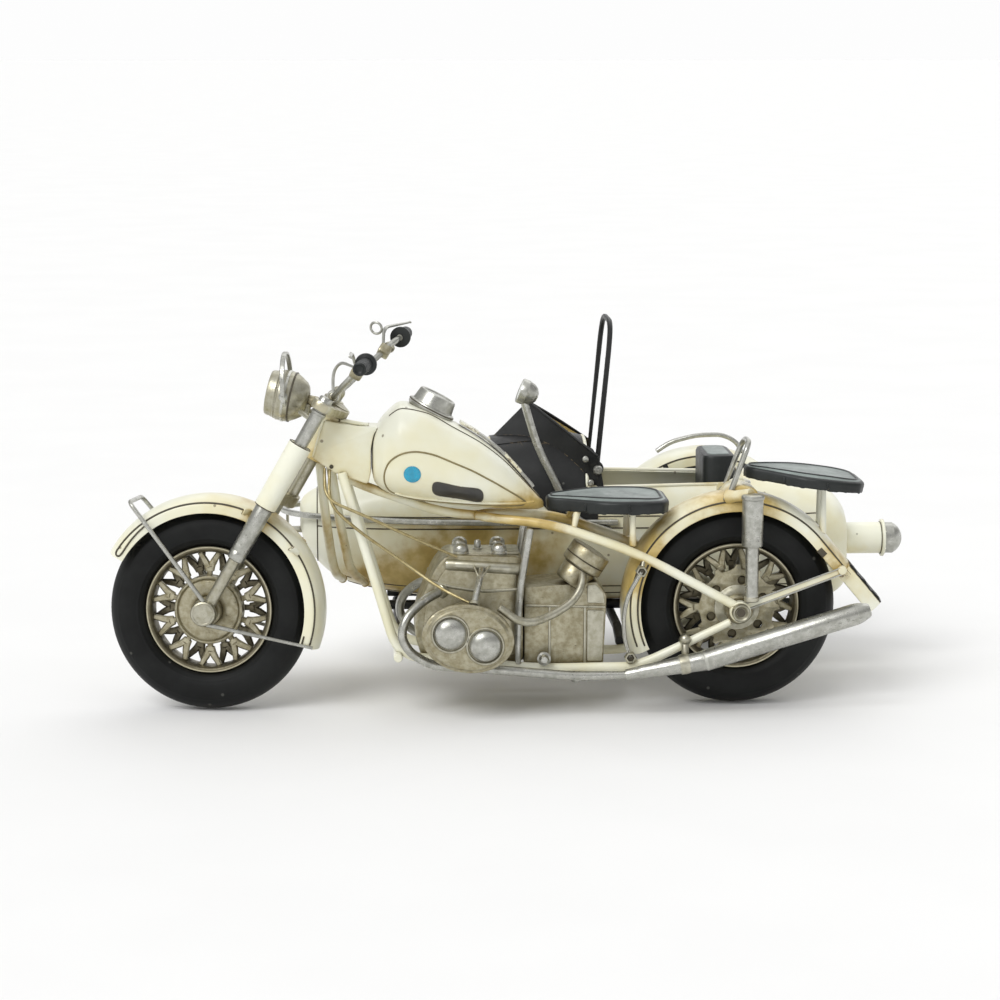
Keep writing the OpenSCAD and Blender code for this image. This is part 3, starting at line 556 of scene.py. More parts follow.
def tyre_rubber(name):
    """Plain black rubber with dust in its ridges."""
    p = Paint(name)
    broad, fine = p.noise(14, 4), p.noise(0.9, 4)
    color = p.mix(p.span(broad, 0.35, 0.7), (0.004, 0.0044, 0.0043), (0.010, 0.011, 0.0105))
    color = p.mix(p.span(p.crease(3), 0.2, 0.9, 0.0, 0.4), color, (0.045, 0.04, 0.028))
    color = p.mix(p.times(p.specks(5, 0.07), 0.35), color, (0.16, 0.16, 0.14))
    p.bump((broad, 0.2, 0.4), (fine, 0.22, 0.07))
    return p.finish(color, p.span(broad, 0.3, 0.7, 0.46, 0.6), Specular_IOR_Level=0.22)


def flat_enamel(name, shade, rough):
    """A small enamelled mark with a faint mottle."""
    p = Paint(name)
    blotch = p.noise(2.2, 4)
    color = p.mix(p.span(blotch, 0.3, 0.75), shade, tuple(c * 0.72 for c in shade))
    color = p.mix(p.times(p.edge(0.5), 0.35), color, (0.1, 0.08, 0.05))
    p.bump((blotch, 0.2, 0.12), (p.noise(0.5, 3), 0.1, 0.04))
    return p.finish(color, p.span(blotch, 0.3, 0.7, rough, rough + 0.1), Coat_Weight=0.3,
        Coat_Roughness=0.15)


def lamp_glass(name):
    """The lamp's domed lens: frosted glass with moulded ribs."""
    p = Paint(name)
    ribs = p.node("ShaderNodeTexWave", {"bands_direction": "Y"}, Vector=p.where, Scale=220.0,
        Distortion=0.4).outputs["Fac"]
    color = p.mix(p.span(p.noise(3, 3), 0.3, 0.7), (0.62, 0.66, 0.62), (0.78, 0.80, 0.74))
    p.bump((ribs, 0.5, 0.35), (p.noise(0.8, 3), 0.1, 0.05))
    return p.finish(color, p.span(p.noise(2), 0.3, 0.7, 0.08, 0.18), Coat_Weight=0.6, Coat_Roughness=0.05)


CREAM = cream_enamel("cream_enamel", (0.82, 0.82, 0.69), (0.78, 0.75, 0.54), 0.5)
PEWTER = metal("pewter", (0.50, 0.485, 0.40), (0.36, 0.34, 0.25), (0.17, 0.14, 0.065), 0.36)
CASTING = metal("casting", (0.47, 0.44, 0.325), (0.30, 0.265, 0.165), (0.115, 0.085, 0.03), 0.36, 1.0, 1.25)
# A darker copy of the casting metal, painted shade: it colours the rims, the far set of spokes and the hub body
# behind the rear flange.
SHADED_CASTING = metal("casting_painted_shade", (0.20, 0.18, 0.125), (0.115, 0.10, 0.065), (0.05, 0.04, 0.02), 0.40, 0.5)
SILVER = metal("worn_plating", (0.53, 0.53, 0.49), (0.37, 0.37, 0.33), (0.15, 0.135, 0.09), 0.31, 1.2, 0.9)
BLACK = black_enamel("black_enamel", (0.006, 0.0065, 0.0065), 0.40, 0.7)
SEAT = black_enamel("seat_enamel", (0.010, 0.012, 0.0115), 0.36, 0.6)
# A lighter copy of the seat enamel: a painted highlight on the top faces of the saddles and the sidecar seat.
SEAT_TOP_HIGHLIGHT = black_enamel("seat_top_painted_highlight", (0.15, 0.175, 0.165), 0.34, 0.3)
BRASS = metal("cable_wire", (0.50, 0.43, 0.24), (0.34, 0.27, 0.12), (0.10, 0.07, 0.02), 0.4)
RUBBER = tyre_rubber("tyre_rubber")
BLUE = flat_enamel("blue_enamel", (0.0, 0.43, 0.68), 0.22)
DARK_BAR = flat_enamel("dark_enamel", (0.022, 0.023, 0.022), 0.3)
GROOVE = flat_enamel("groove_paint", (0.045, 0.036, 0.016), 0.5)
OLIVE_LINE = flat_enamel("panel_line", (0.30, 0.24, 0.09), 0.45)
GLASS = lamp_glass("lamp_glass")


# ---------------------------------------------------------------- pieces

# Where the enamel has aged most: (middle in mm, radius in mm, amount)
STAINS = [
    ((-92, 0, 74), 16, 0.7), ((-75, 8, 66), 13, 0.5), ((-72, 0, 95), 8, 0.7), ((-14, 42, 49), 24, 0.72),
    ((12, 42, 50), 15, 0.5), ((146, 0, 44), 11, 0.85), ((29, 84, 98), 16, 0.9),
    ((-69, -7, 104), 6, 0.5), ((-48, 44, 40), 22, 0.6), ((11, -8, 73), 14, 0.9), ((24, 0, 70), 13, 0.8),
    ((-10, 0, 73), 12, 0.5), ((56, 0, 64), 15, 0.95), ((49, 0, 50), 15, 0.8), ((84, -6, 82), 15, 0.75),
    ((100, -10, 78), 10, 0.5), ((128, -9, 60), 13, 0.6), ((86, 60, 76), 16, 0.7), ((30, 93, 95), 13, 0.9),
    ((-60, 20, 60), 14, 0.4), ((132, 66, 50), 16, 0.4), ((-52, 0, 84), 9, 0.5), ((28, 12, 72), 8, 0.8),
    ((92, 122, 82), 20, 0.35), ((40, 44, 38), 26, 0.45),
]
# Faces that look down are drawn this much further towards ochre and dark brown.
UNDERSIDE = 0.22


class Piece:
    """One object of the visual model, gathered from shapes in the motorcycle's frame."""

    def __init__(self, name, *materials, place=HERE):
        self.name, self.materials, self.place = name, materials, place
        self.points, self.faces, self.kinds = [], [], []

    def add(self, shape, material=None, place=None):
        """Adds a shape in the piece's first material and place unless others are given."""
        place = self.place if place is None else place
        base = len(self.points)
        self.points += [place @ Vector(p) for p in shape[0]]
        self.faces += [tuple(base + i for i in face) for face in shape[1]]
        kind = 0 if material is None else self.materials.index(material)
        self.kinds += [kind] * len(shape[1])

    def finish(self, body, slot, *nodes, angle=38):
        mesh = bpy.data.meshes.new(self.name)
        mesh.from_pydata([ORIGIN + p * MM for p in self.points], [], self.faces)
        for material in self.materials:
            mesh.materials.append(material)
        mesh.polygons.foreach_set("material_index", self.kinds)
        made = bmesh.new()
        made.from_mesh(mesh)
        bmesh.ops.recalc_face_normals(made, faces=made.faces[:])
        made.to_mesh(mesh)
        made.free()
        mesh.shade_smooth()
        mesh.set_sharp_from_angle(angle=math.radians(angle))
        if CREAM in self.materials:
            self.age(mesh)
        thing = bpy.data.objects.new(self.name, mesh)
        bpy.context.scene.collection.objects.link(thing)
        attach(thing, body)
        if nodes:
            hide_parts(*nodes)

    def age(self, mesh):
        """Writes a stain amount at each point, which the cream enamel reads: the aged places listed, and more on
        faces that look down.
        """
        points = np.array([tuple(p) for p in self.points], float)
        normals = np.array([v.normal.z for v in mesh.vertices], float)
        stain = np.clip(-normals, 0, 1) * UNDERSIDE
        for middle, radius, amount in STAINS:
            away = np.linalg.norm(points - np.array(middle), axis=1) / radius
            stain = stain + amount * np.exp(-away ** 2)
        layer = mesh.attributes.new("stain", "FLOAT", "POINT")
        layer.data.foreach_set("value", np.clip(stain, 0, 1.2).astype(np.float32))


# ---------------------------------------------------------------- wheels

RIM_R = 24.0
TYRE_SIDES, RIM_SIDES, DRUM_SIDES = 144, 120, 96
SPOKES, TEETH, FLANGE_HOLES = 10, 12, 6


def tyre_profile():
    """A round balloon tyre with a moulded ring near the rim and one near the tread."""
    line = []
    for degrees in np.arange(-158, 159, 3.0):
        a = math.radians(degrees)
        p = 2 / (2.1 if abs(degrees) < 90 else 2.6)
        r, y = 31 + 7.3 * power(math.cos(a), p), 7.55 * power(math.sin(a), p)
        swell = 0.20 * math.exp(-((r - 27.0) / 0.35) ** 2) + 0.14 * math.exp(-((r - 34.2) / 0.4) ** 2)
        swell += 0.12 * math.exp(-(y / 0.4) ** 2) if r > 36 else 0
        line.append((r + swell * math.cos(a), y + swell * math.sin(a)))
    return line + [(RIM_R - 0.1, 3.4), (RIM_R - 0.1, -3.4)]


def rim_profile():
    half = [(21.5, 0), (21.7, 3.2), (22.0, 4.6), (22.6, 5.5), (23.3, 5.75), (24.0, 5.5), (24.15, 4.8),
        (23.6, 4.2)]
    return half + [(r, -y) for r, y in reversed(half[1:])]


def polar(radius, degrees, y):
    """A place round local Y: 0 degrees points back along X and 90 up."""
    a = math.radians(degrees)
    return (radius * math.cos(a), y, radius * math.sin(a))


def forked_spokes(piece, y, depth, start, material, place):
    """Ten cast spokes, each of which forks on its way to the rim."""
    flat = slab(depth, 1.9, 0.5)
    stem = slab(depth, 2.6, 0.5)
    for i in range(SPOKES):
        a = start + 360 / SPOKES * i
        piece.add(tube([polar(5, a, y), polar(16.4, a, y)], 1.3, section=stem, up=(0, 1, 0)), material,
            place)
        for side in (-1, 1):
            piece.add(tube([polar(14.4, a + side * 1.5, y), polar(17, a + side * 3.2, y),
                polar(21.9, a + side * 9.5, y)], 1, bend=1.5, section=flat, up=(0, 1, 0)), material, place)


def wheel(name, body, place, hub_half, start):
    """A tyre and a cast wheel round local Y. Returns the wheel's piece, still open for more shapes."""
    tyre = Piece(name + "_tyre_rubber", RUBBER)
    tyre.add(lathe(tyre_profile(), TYRE_SIDES, ring=True), RUBBER, place @ ACROSS)
    tyre.finish(body, "tyre_rubber", name + "_tyre", angle=60)
    cast = Piece(name + "_wheel_casting", SHADED_CASTING, CASTING, PEWTER)
    cast.add(lathe(rounded(rim_profile(), 0.4, 2, True), RIM_SIDES, ring=True), SHADED_CASTING, place @ ACROSS)
    for side in (-1, 1):
        cast.add(lathe([(23.15, 5.45), (23.45, 5.85), (23.85, 5.85), (24.1, 5.45), (23.6, 5.1)], RIM_SIDES,
            ring=True), CASTING, place @ ACROSS @ facing(side))
    forked_spokes(cast, -2.7, 2.6, start, CASTING, place)
    # Painted shade: the far set of spokes takes the darker copy of the casting.
    forked_spokes(cast, 2.7, 2.6, start + 18, SHADED_CASTING, place)
    cast.add(turned((0, -hub_half, 0), (0, hub_half, 0), [(2.1, 0), (4.9, 0), (5.4, 0.6),
        (5.4, hub_half * 2 - 0.6), (4.9, hub_half * 2), (2.1, hub_half * 2)], 48, ring=True), CASTING,
        place)
    return cast


def drum(piece, place, side):
    """The brake drum: a rolled rim round a shallow domed face."""
    line = [(13.0, 1.1), (13.0, 6.3), (12.9, 7.0), (12.5, 7.35), (12.0, 7.25), (11.6, 6.7), (11.2, 6.45),
        (10.0, 6.75), (7.6, 7.1), (5.6, 7.2), (5.3, 7.0), (5.3, 1.1)]
    piece.add(lathe(line, DRUM_SIDES, ring=True), CASTING, place @ ACROSS @ facing(side))
    piece.add(lathe([(12.6, 2.6), (13.0, 2.6), (13.25, 3.0), (13.0, 3.4), (12.6, 3.4)], DRUM_SIDES,
        ring=True), PEWTER, place @ ACROSS @ facing(side))


FORK_OFFSET, LEG_Y = 5, 15
FRONT = FORK @ move(-FORK_OFFSET, 0, 0)
front = wheel("front", "front_wheel", FRONT, 12.7, 12)
drum(front, FRONT, -1)
front.finish("front_wheel", "pewter", "front_wheel")

REAR = Matrix.Translation(REAR_WHEEL)
rear = wheel("rear", "rear_wheel", REAR, 14.7, 4)


def toothed_flange():
    """Twelve blunt teeth round a disc with six holes."""
    outline = []
    for i in range(TEETH):
        for radius, part in ((14.4, -0.42), (14.6, -0.2), (16.4, -0.13), (16.4, 0.05), (15.0, 0.16),
            (14.4, 0.36)):
            a = TAU * (i + part) / TEETH
            outline.append((radius * math.cos(a), radius * math.sin(a)))
    holes = [circle(1.7, 20, (10.5 * math.cos(TAU * i / FLANGE_HOLES + 0.35), 10.5
        * math.sin(TAU * i / FLANGE_HOLES + 0.35))) for i in range(FLANGE_HOLES)]
    holes.append(circle(5.2, 40))
    return side_plate(outline, -8.1, -6.75, holes, 0.3)


rear.add(toothed_flange(), CASTING, REAR)
rear.add(turned((0, -8.0, 0), (0, -9.6, 0), [(5.3, 0), (8.6, 0), (8.6, 0.5), (7.2, 1.1), (6.4, 1.5),
    (5.3, 1.6)], 64, ring=True), PEWTER, REAR)
rear.add(turned((0, -6.9, 0), (0, 2.0, 0), [(5.3, 0), (11.6, 0), (12.2, 0.6), (12.2, 8), (5.3, 8.6)], 64,
    ring=True), SHADED_CASTING, REAR)
rear.finish("rear_wheel", "pewter", "rear_wheel")

SIDE = Matrix.Translation(SIDE_WHEEL)
side_wheel = wheel("sidecar", "sidecar_wheel", SIDE, 9.5, 8)
drum(side_wheel, SIDE, 1)
side_wheel.finish("sidecar_wheel", "pewter", "sidecar_wheel")


# ---------------------------------------------------------------- mudguards

GUARD_SECTION = [(37.05, -10.3), (38.6, -10.42), (40.3, -10.38), (41.4, -9.7), (42.4, -8.2), (43.2, -6.0),
    (43.8, -3.2), (43.95, 0)]
GUARD_T = 0.85
LINE_R = 41.0


def guard_section():
    half = rounded(GUARD_SECTION, 0.8, 2)
    line = [(p.x, p.y) for p in half]
    return line + [(r, -y) for r, y in reversed(line[:-1])]


def arc_rows(start, end, step=2.0):
    """The mudguard's section at every angle from start to end, round local Y."""
    count = max(2, int(abs(end - start) / step))
    return [[polar(r, start + (end - start) * i / count, y) for r, y in guard_section()]
        for i in range(count + 1)]


def seam(side, stops):
    """A dark line along the shoulder of a mudguard; stops are (angle, radius)."""
    section = sorted((r, -y) for r, y in GUARD_SECTION)
    half = curve(section, 1)
    path = [polar(r, a, side * (half(r) + 0.08)) for a, r in stops]
    return tube(path, 0.34, bend=1.0, sides=8, steps=2)


def between(start, end, count):
    return [start + (end - start) * i / count for i in range(count + 1)]


guard = Piece("front_mudguard_sheet", CREAM, GROOVE, place=FRONT)
guard.add(sheet(arc_rows(10, 180), -GUARD_T))
for side in (-1, 1):
    top = [(a, LINE_R) for a in between(12, 175, 54)]
    tip = [(177.6, 40.9), (178.8, 40.0), (178.2, 39.0), (176, 38.7)]
    back = [(a, 38.75 + 0.9 * k) for a, k in zip(between(174, 156, 6), between(0, 1, 6))]
    guard.add(seam(side, top + tip + back), GROOVE)
    guard.add(seam(side, [(a, 38.0) for a in between(10.6, 16, 4)]), GROOVE)
    for a in (96, 64):
        guard.add(tube([polar(40.2, a, side * 10.3), polar(41.3, a, side * 12.6),
            polar(40.8, a + 3, side * 14.6)], 1, bend=1.2, section=slab(3.4, 0.9), up=(0, 1, 0.4)))
guard.finish("steering", "cream_paint", "front_mudguard", angle=50)

stays = Piece("front_stay_wires", SILVER, place=FORK)
loop = [(-7, -18.4, 4), (-50.5, -12.6, 21.4)]
stays.add(tube(joined(loop), 0.85, bend=3.2, sides=12))
for path in both([(-2, -18.2, -3), (36.6, -11.2, 8.4)]):
    stays.add(tube(path, 0.85, sides=12))
stays.finish("steering", "pewter", "front_stays")


# ---------------------------------------------------------------- fork and handlebar

legs = Piece("fork_leg_tubes", SILVER, PEWTER, place=FORK)
for y in (-LEG_Y, LEG_Y):
    legs.add(turned((-FORK_OFFSET, y, 0), (-FORK_OFFSET, y, 24),
        [(0, 0), (1.9, 0), (2.3, 0.5), (2.3, 24), (0, 24)]), PEWTER)
    legs.add(turned((-FORK_OFFSET, y, 23), (-FORK_OFFSET, y, 47),
        [(0, 0), (2.6, 0), (3.25, 0.4), (3.4, 1.2), (3.4, 3.4), (3.22, 3.7), (3.22, 4.3), (3.4, 4.6),
        (3.4, 23), (3.1, 24), (0, 24)]))
    legs.add(turned((-FORK_OFFSET, y, 72), (-FORK_OFFSET, y, 93.5),
        [(0, 0), (2.65, 0), (2.65, 14.2), (3.0, 14.4), (3.0, 15.2), (2.65, 15.4), (2.65, 20.8), (2.2, 21.4),
        (0, 21.5)]))
    legs.add(turned((-FORK_OFFSET, y - 2.2, 0), (-FORK_OFFSET, y + 2.2, 0),
        [(0, 0), (3.1, 0), (3.6, 0.5), (3.6, 3.9), (3.1, 4.4), (0, 4.4)]), PEWTER)
legs.finish("steering", "pewter", "fork_tubes")

shrouds = Piece("fork_shroud_covers", CREAM, GROOVE, place=FORK)
for y in (-LEG_Y, LEG_Y):
    shrouds.add(turned((-FORK_OFFSET, y, 46), (-FORK_OFFSET, y, 73),
        [(2.4, 0.5), (3.7, 0), (4.1, 0.3), (4.25, 1), (4.5, 26), (4.4, 26.8), (4.1, 27), (2.5, 26.6)], 44,
        ring=True))
    shrouds.add(ring((-FORK_OFFSET, y, 46.1), (0, 0, 1), 3.95, 0.22), GROOVE)
    shrouds.add(ring((-FORK_OFFSET, y, 72.95), (0, 0, 1), 4.25, 0.2), GROOVE)
shrouds.finish("steering", "cream_paint", "fork_shrouds")

axle = Piece("front_axle_caps", PEWTER, place=FORK)
axle.add(rod((-5, -19, 0), (-5, 19, 0), 2.0))
for s in (-1, 1):
    axle.add(turned((-5, s * 16.6, 0), (-5, s * 19.75, 0), [(0, 0), (4.3, 0), (4.8, 0.35), (4.8, 2.1),
        (4.5, 2.7), (3.9, 2.95), (3.6, 2.72), (0, 2.9)], 56))
axle.finish("steering", "pewter", "front_axle")

stem = Piece("fork_stem_and_yokes", PEWTER, CASTING, place=FORK)
stem.add(turned((0, 0, 49.2), (0, 0, 92), [(0, 0), (2.5, 0), (2.5, 41), (3.4, 41.2), (3.4, 42.3),
    (2.4, 42.8), (0, 42.8)]))
LOWER_YOKE = [(-8, -12.4), (-2, -12.4), (3.4, -4), (3.4, 4), (-2, 12.4), (-8, 12.4), (-5, 4), (-5, -4)]
stem.add(plate(LOWER_YOKE, 49, 53.5, (), 0.4, 2.0), CASTING)
UPPER_YOKE = [(-9.4, -15), (-8, -19), (-3, -19.2), (-0.8, -15.5), (3.6, -4), (4, 0), (3.6, 4), (-0.8, 15.5),
    (-3, 19.2), (-8, 19), (-9.4, 15), (-5, 5), (-4.6, 0), (-5, -5)]
stem.add(plate([(x * 0.98, y) for x, y in UPPER_YOKE], 88, 91.15, (), 0.4, 2.0), CASTING)
for y in (-LEG_Y, LEG_Y):
    stem.add(rod((-FORK_OFFSET, y, 88), (-FORK_OFFSET, y, 91.5), 4.032, soft=0.4))
stem.finish("steering", "pewter", "fork_stem")

# The bar is rolled a little in its clamps
ROLL = move(0, 0, 94) @ turn(6, "X") @ move(0, 0, -94)
BAR = FORK @ ROLL
bars = Piece("handlebar_tube", SILVER, PEWTER, place=BAR)
bar_side = [(3.5, -40, 118.5), (2.5, -34, 116.5), (-1, -24, 105), (-3.5, -11, 96), (-4, -5, 94.5)]
bars.add(tube(joined(bar_side), 1.2, bend=6, sides=18))
for y in (-5, 5):
    bars.add(ball((-4, y, 94.5), 2.6), PEWTER)
    bars.add(turned((-4, y, 88), (-4, y, 94), [(0, 0), (2.0, 0), (1.5, 1.4), (1.5, 4.6), (2.0, 6), (0, 6)]),
        PEWTER)
    bars.add(ring((-4, y * 1.32, 94.5), (0, 1, 0), 1.9, 0.5, 28))
bars.finish("steering", "pewter", "handlebar")

grips = Piece("rubber_grips", SEAT, place=BAR)
for s in (-1, 1):
    inner, outer = Vector((3.5, s * 40, 118.5)), Vector((3.5, s * 55, 118.5))
    line = [(0, 0), (4.0, 0), (4.05, 0.5), (4.0, 1.1), (2.7, 1.5), (2.5, 1.9)]
    for i in range(6):
        z = 3.0 + i * 1.75
        line += [(2.6, z), (2.6, z + 1.05), (2.38, z + 1.25), (2.38, z + 1.6)]
    line += [(2.6, 13.7), (2.45, 14.6), (1.9, 15.0), (1.5, 14.6), (1.1, 14.3), (0, 14.2)]
    grips.add(turned(inner, outer, line, 36))
grips.finish("steering", "black_paint", "handlebar_grips")

hands = Piece("hand_control_parts", PEWTER, SILVER, CASTING)
for s in (-1, 1):
    hands.add(plate([(-2.3, -2.4), (2.3, -2.4), (2.3, 2.4), (-2.3, 2.4)], -1.9, 1.9, (), 0.45, 0.9),
        CASTING, BAR @ move(1.4, s * 30.4, 112.4) @ turn(-s * 42, "X"))
    hands.add(turned((2, s * 33, 113.6), (2.6, s * 35.6, 115.4),
        [(1.1, 0), (2.1, 0.1), (2.3, 0.8), (2.1, 1.6), (1.1, 1.8)], 28, ring=True), PEWTER, BAR)
for path in ([(0, 31, 114), (-3.5, 35, 119.5), (3.4, 48.2, 124.2)],
    [(0, -31, 114), (-3.5, -35, 118.5), (-2, -49, 119.5)]):
    hands.add(tube(path, 0.45, bend=3, section=slab(1.5, 0.8), up=(0, 0.3, 1)), SILVER, BAR)
hands.add(ring((-6.0, 35, 117.8), (0.1, 1, 0.3), 2.3, 0.5, 30), SILVER, BAR)
hands.add(tube([(-4, -14, 97.5), (-8, -13, 104), (-7, -18, 110), (0, -28, 113)], 0.6, bend=4, sides=10),
    SILVER, BAR)
hands.finish("steering", "pewter", "hand_controls")


# ---------------------------------------------------------------- headlamp

# The lamp's local +Z points out through its glass
LAMP = FORK @ move(-19, 0, 85) @ turn(-108, "Y")
lamp = Piece("headlamp_bowl", PEWTER, SILVER, GROOVE, CASTING, place=LAMP)
lamp.add(lathe([(0, -7.4), (3.4, -7.35), (5.3, -6.9), (6.6, -5.9), (8.0, -3.9), (9.0, -2.1), (9.45, -1.0),
    (9.6, 0.2), (9.6, 3.4), (9.35, 3.75), (9.2, 3.8), (9.2, 4.2), (9.35, 4.3), (8.95, 4.7), (8.9, 5.6),
    (8.65, 6.0), (8.65, 6.6), (8.5, 7.4), (8.2, 7.95), (7.6, 8.0), (7.3, 7.6), (7.25, 3.0), (0, 3.0)], 72))
lamp.add(lathe([(9.5, 0.5), (9.85, 0.65), (9.9, 1.1), (9.85, 1.5), (9.5, 1.7)], 72, ring=True), SILVER)
lamp.add(lathe([(9.5, -1.6), (9.62, -1.4), (9.62, -1.1), (9.5, -0.9)], 72, ring=True), GROOVE)
lamp.add(rod((0, 0, -11), (0, 0, -6), 2.2), CASTING)
for s in (-1, 1):
    lamp.add(turned((0, s * 9.3, 1), (0, s * 11.0, 1), [(0, 0), (1.7, 0), (1.7, 0.8), (1.1, 1.3), (0, 1.5)],
        24), SILVER)
lamp.finish("steering", "pewter", "headlamp_shell")

lens = Piece("headlamp_lens_glass", GLASS, place=LAMP)
lens.add(lathe([(0, 3.1), (7.15, 3.1), (7.2, 5.2), (6.9, 6.0), (5.6, 6.9), (3.6, 7.4), (1.6, 7.58),
    (0, 7.6)], 56))
lens.finish("steering", "chrome_trim", "headlamp_lens")

hoop = Piece("headlamp_band", SILVER, PEWTER)
hoop.add(lathe([(11.2, -0.85), (11.9, -0.9), (12.15, -0.6), (12.15, 0.6), (11.9, 0.9), (11.2, 0.85),
    (11.05, 0)], 84, ring=True), SILVER, LAMP @ move(4.5, 0, 2) @ turn(-14, "Y"))
for s in (-1, 1):
    hoop.add(tube([(-12, s * 8, 83), (-7, s * 13.4, 83)], 1, sides=12), PEWTER, FORK)
hoop.add(plate([(-5.8, -2.6), (-1.2, -2.6), (-1.2, 2.6), (-5.8, 2.6)], -8.6, -6.2, (), 0.4, 0.7), PEWTER,
    LAMP)
hoop.finish("steering", "pewter", "headlamp_hoop")


# ---------------------------------------------------------------- frame

neck = Piece("neck_gusset_sheet", CREAM, GROOVE)
GUSSET = [(-66.6, 111.3), (-71.3, 97), (-62.5, 91), (-50, 86.5), (-48.9, 92), (-48.9, 100), (-47.6, 106),
    (-45.5, 108.2), (-54, 108.6)]
neck.add(side_plate(GUSSET, -7, 7, (), 0.7, 1.6))
neck.add(tube([(-60.5, -3.5, 110.4), (-49.6, -3.5, 108.6)], 1.1, sides=14))
for s in (-1, 1):
    neck.add(tube([(-66.3, s * 7.05, 113), (-70.8, s * 7.05, 97.2)], 0.5, sides=8))
    neck.add(ball((-63.8, s * 7.0, 93.5), 0.8, 14, 1.0), GROOVE)
neck.add(turned((0, 0, 68.9), (0, 0, 87.6), [(2.56, 0), (3.8, 0), (4.2, 0.5), (4.2, 18.2), (3.8, 18.7),
    (2.56, 18.7)], 48, ring=True), CREAM, FORK)
neck.finish("chassis", "cream_paint", "neck_gusset")

TUBE_R = 1.8
spine = Piece("backbone_tube", CREAM)
spine.add(tube([(-61, 0, 89.4), (-50, 0, 84.4), (-22, 0, 74.6), (-5.6, 0, 73.4)], TUBE_R, bend=10))
spine.finish("chassis", "cream_paint", "backbone")

rails = Piece("upper_frame_tubes", CREAM)
for path in both([(88, -17, 40.8), (52, -15, 60.5), (20, -13.4, 71.8), (-4, -6, 73.4), (-9, -1, 73.5)]):
    rails.add(tube(path, TUBE_R, bend=14, steps=8))
for s in (-1, 1):
    rails.add(turned((90, s * 15, 38.5), (90, s * 19, 38.5), [(2.1, 0), (3.6, 0), (4.0, 0.5), (4.0, 3.5),
        (3.6, 4), (2.1, 4)], 40, ring=True))
rails.finish("chassis", "cream_paint", "upper_frame")

cradle = Piece("lower_frame_tubes", CREAM, SILVER)
for path in both([(-60, -8.6, 91.4), (-39.3, -15.1, 22.5), (14, -15.1, 17), (49, -16, 17.5),
    (57, -16, 20.2), (86.5, -17, 34.6)]):
    cradle.add(tube(path, TUBE_R, bend=9, steps=7))
for path in both([(10.6, -15.4, 70.6), (6, -15.4, 43), (6, -15.4, 18.8)]):
    cradle.add(tube(path, 1.4, bend=12, steps=7), SILVER)
cradle.add(tube([(-39.3, -20, 22.5), (-39.3, 20, 22.5)], 1.7))
cradle.finish("chassis", "cream_paint", "lower_frame")

struts = Piece("sidecar_strut_tubes", CREAM)
for path in ([(-68.5, 7, 96), (-66.5, 13, 72), (-63.5, 27, 47), (-60, 50.5, 40)],
             [(-64.5, 7.4, 94), (-61.5, 15, 72), (-57, 32, 46), (-51, 48.5, 38.6)]):
    struts.add(tube(path, TUBE_R, bend=12, steps=7))
struts.finish("chassis", "cream_paint", "sidecar_struts")


# ---------------------------------------------------------------- tank

# (x, share of the half width, height of the bottom, height of the top)
TANK_HALF = 20.0
TANK = [(-48.8, 0.15, 92, 100), (-47.6, 0.52, 87, 106), (-43.5, 0.8, 83.5, 112.5), (-37, 0.95, 81, 117),
    (-29, 1, 79.5, 115.6), (-18, 0.98, 78.2, 109.6), (-8, 0.88, 77.2, 103.6), (0, 0.75, 76.6, 97.2),
    (8, 0.52, 76, 88.6), (13.5, 0.28, 75.8, 82.2), (16.5, 0.08, 76.4, 78.6)]
TANK_POWER = 2.6
tank_share, tank_low, tank_high = (curve(TANK, k) for k in (1, 2, 3))


def tank_ring(x, count=96):
    share, low, high = tank_share(x) * TANK_HALF, tank_low(x), tank_high(x)
    middle, half = (low + high) / 2, (high - low) / 2
    p = 2 / TANK_POWER
    return [(x, share * power(math.cos(TAU * i / count), p), middle + half
        * power(math.sin(TAU * i / count), p)) for i in range(count)]


def tank_side(x, z):
    """Half width of the tank at a place on its side."""
    middle, half = (tank_low(x) + tank_high(x)) / 2, (tank_high(x) - tank_low(x)) / 2
    up = min(0.995, abs(z - middle) / half)
    return TANK_HALF * tank_share(x) * (1 - up ** TANK_POWER) ** (1 / TANK_POWER)


def tank_top(x, share):
    """Height of the tank's top at a share of its half width."""
    middle, half = (tank_low(x) + tank_high(x)) / 2, (tank_high(x) - tank_low(x)) / 2
    return middle + half * (1 - share ** TANK_POWER) ** (1 / TANK_POWER)


RIDGE_SHARE = 0.52
tank = Piece("fuel_tank_shell", CREAM, OLIVE_LINE, GROOVE, SILVER)
stops = np.concatenate((np.linspace(-48.75, -45, 12), np.linspace(-44.4, 16.45, 84)))
tank.add(skin([tank_ring(x) for x in stops]))


def on_tank(points, out=0.05):
    """A line of (x, z) laid on the near side of the tank."""
    return [(x, -tank_side(x, z) - out, z) for x, z in points]


PANEL = [(-44.2, 91.8), (-42.6, 96.4), (-38.6, 99.6), (-33, 101), (-26, 99.8), (-11.5, 93.4), (-2.2, 88),
    (6.4, 82.3), (9.4, 79.9), (8.2, 78.6), (-1, 78.8), (-15.6, 79.9), (-31.3, 81.2), (-38.3, 82.6),
    (-42.4, 85), (-44, 88)]
outline = rounded([Vector(p) for p in PANEL], 3, 4, closed=True)
dense = []
for a, b in zip(outline, outline[1:] + outline[:1]):
    dense += [a.lerp(b, k / 3) for k in range(3)]
for line in both(on_tank(dense, 0.02)):
    tank.add(tube(line, 0.34, bend=0.2, sides=8, steps=1, closed=True), OLIVE_LINE)
lip = [(x, tank_low(x) + 2.2 + 0.03 * (x + 40)) for x in between(-40, 12.5, 40)]
for line in both(on_tank(lip, 0.1)):
    tank.add(tube(line, 0.55, bend=0.2, sides=8, steps=1))
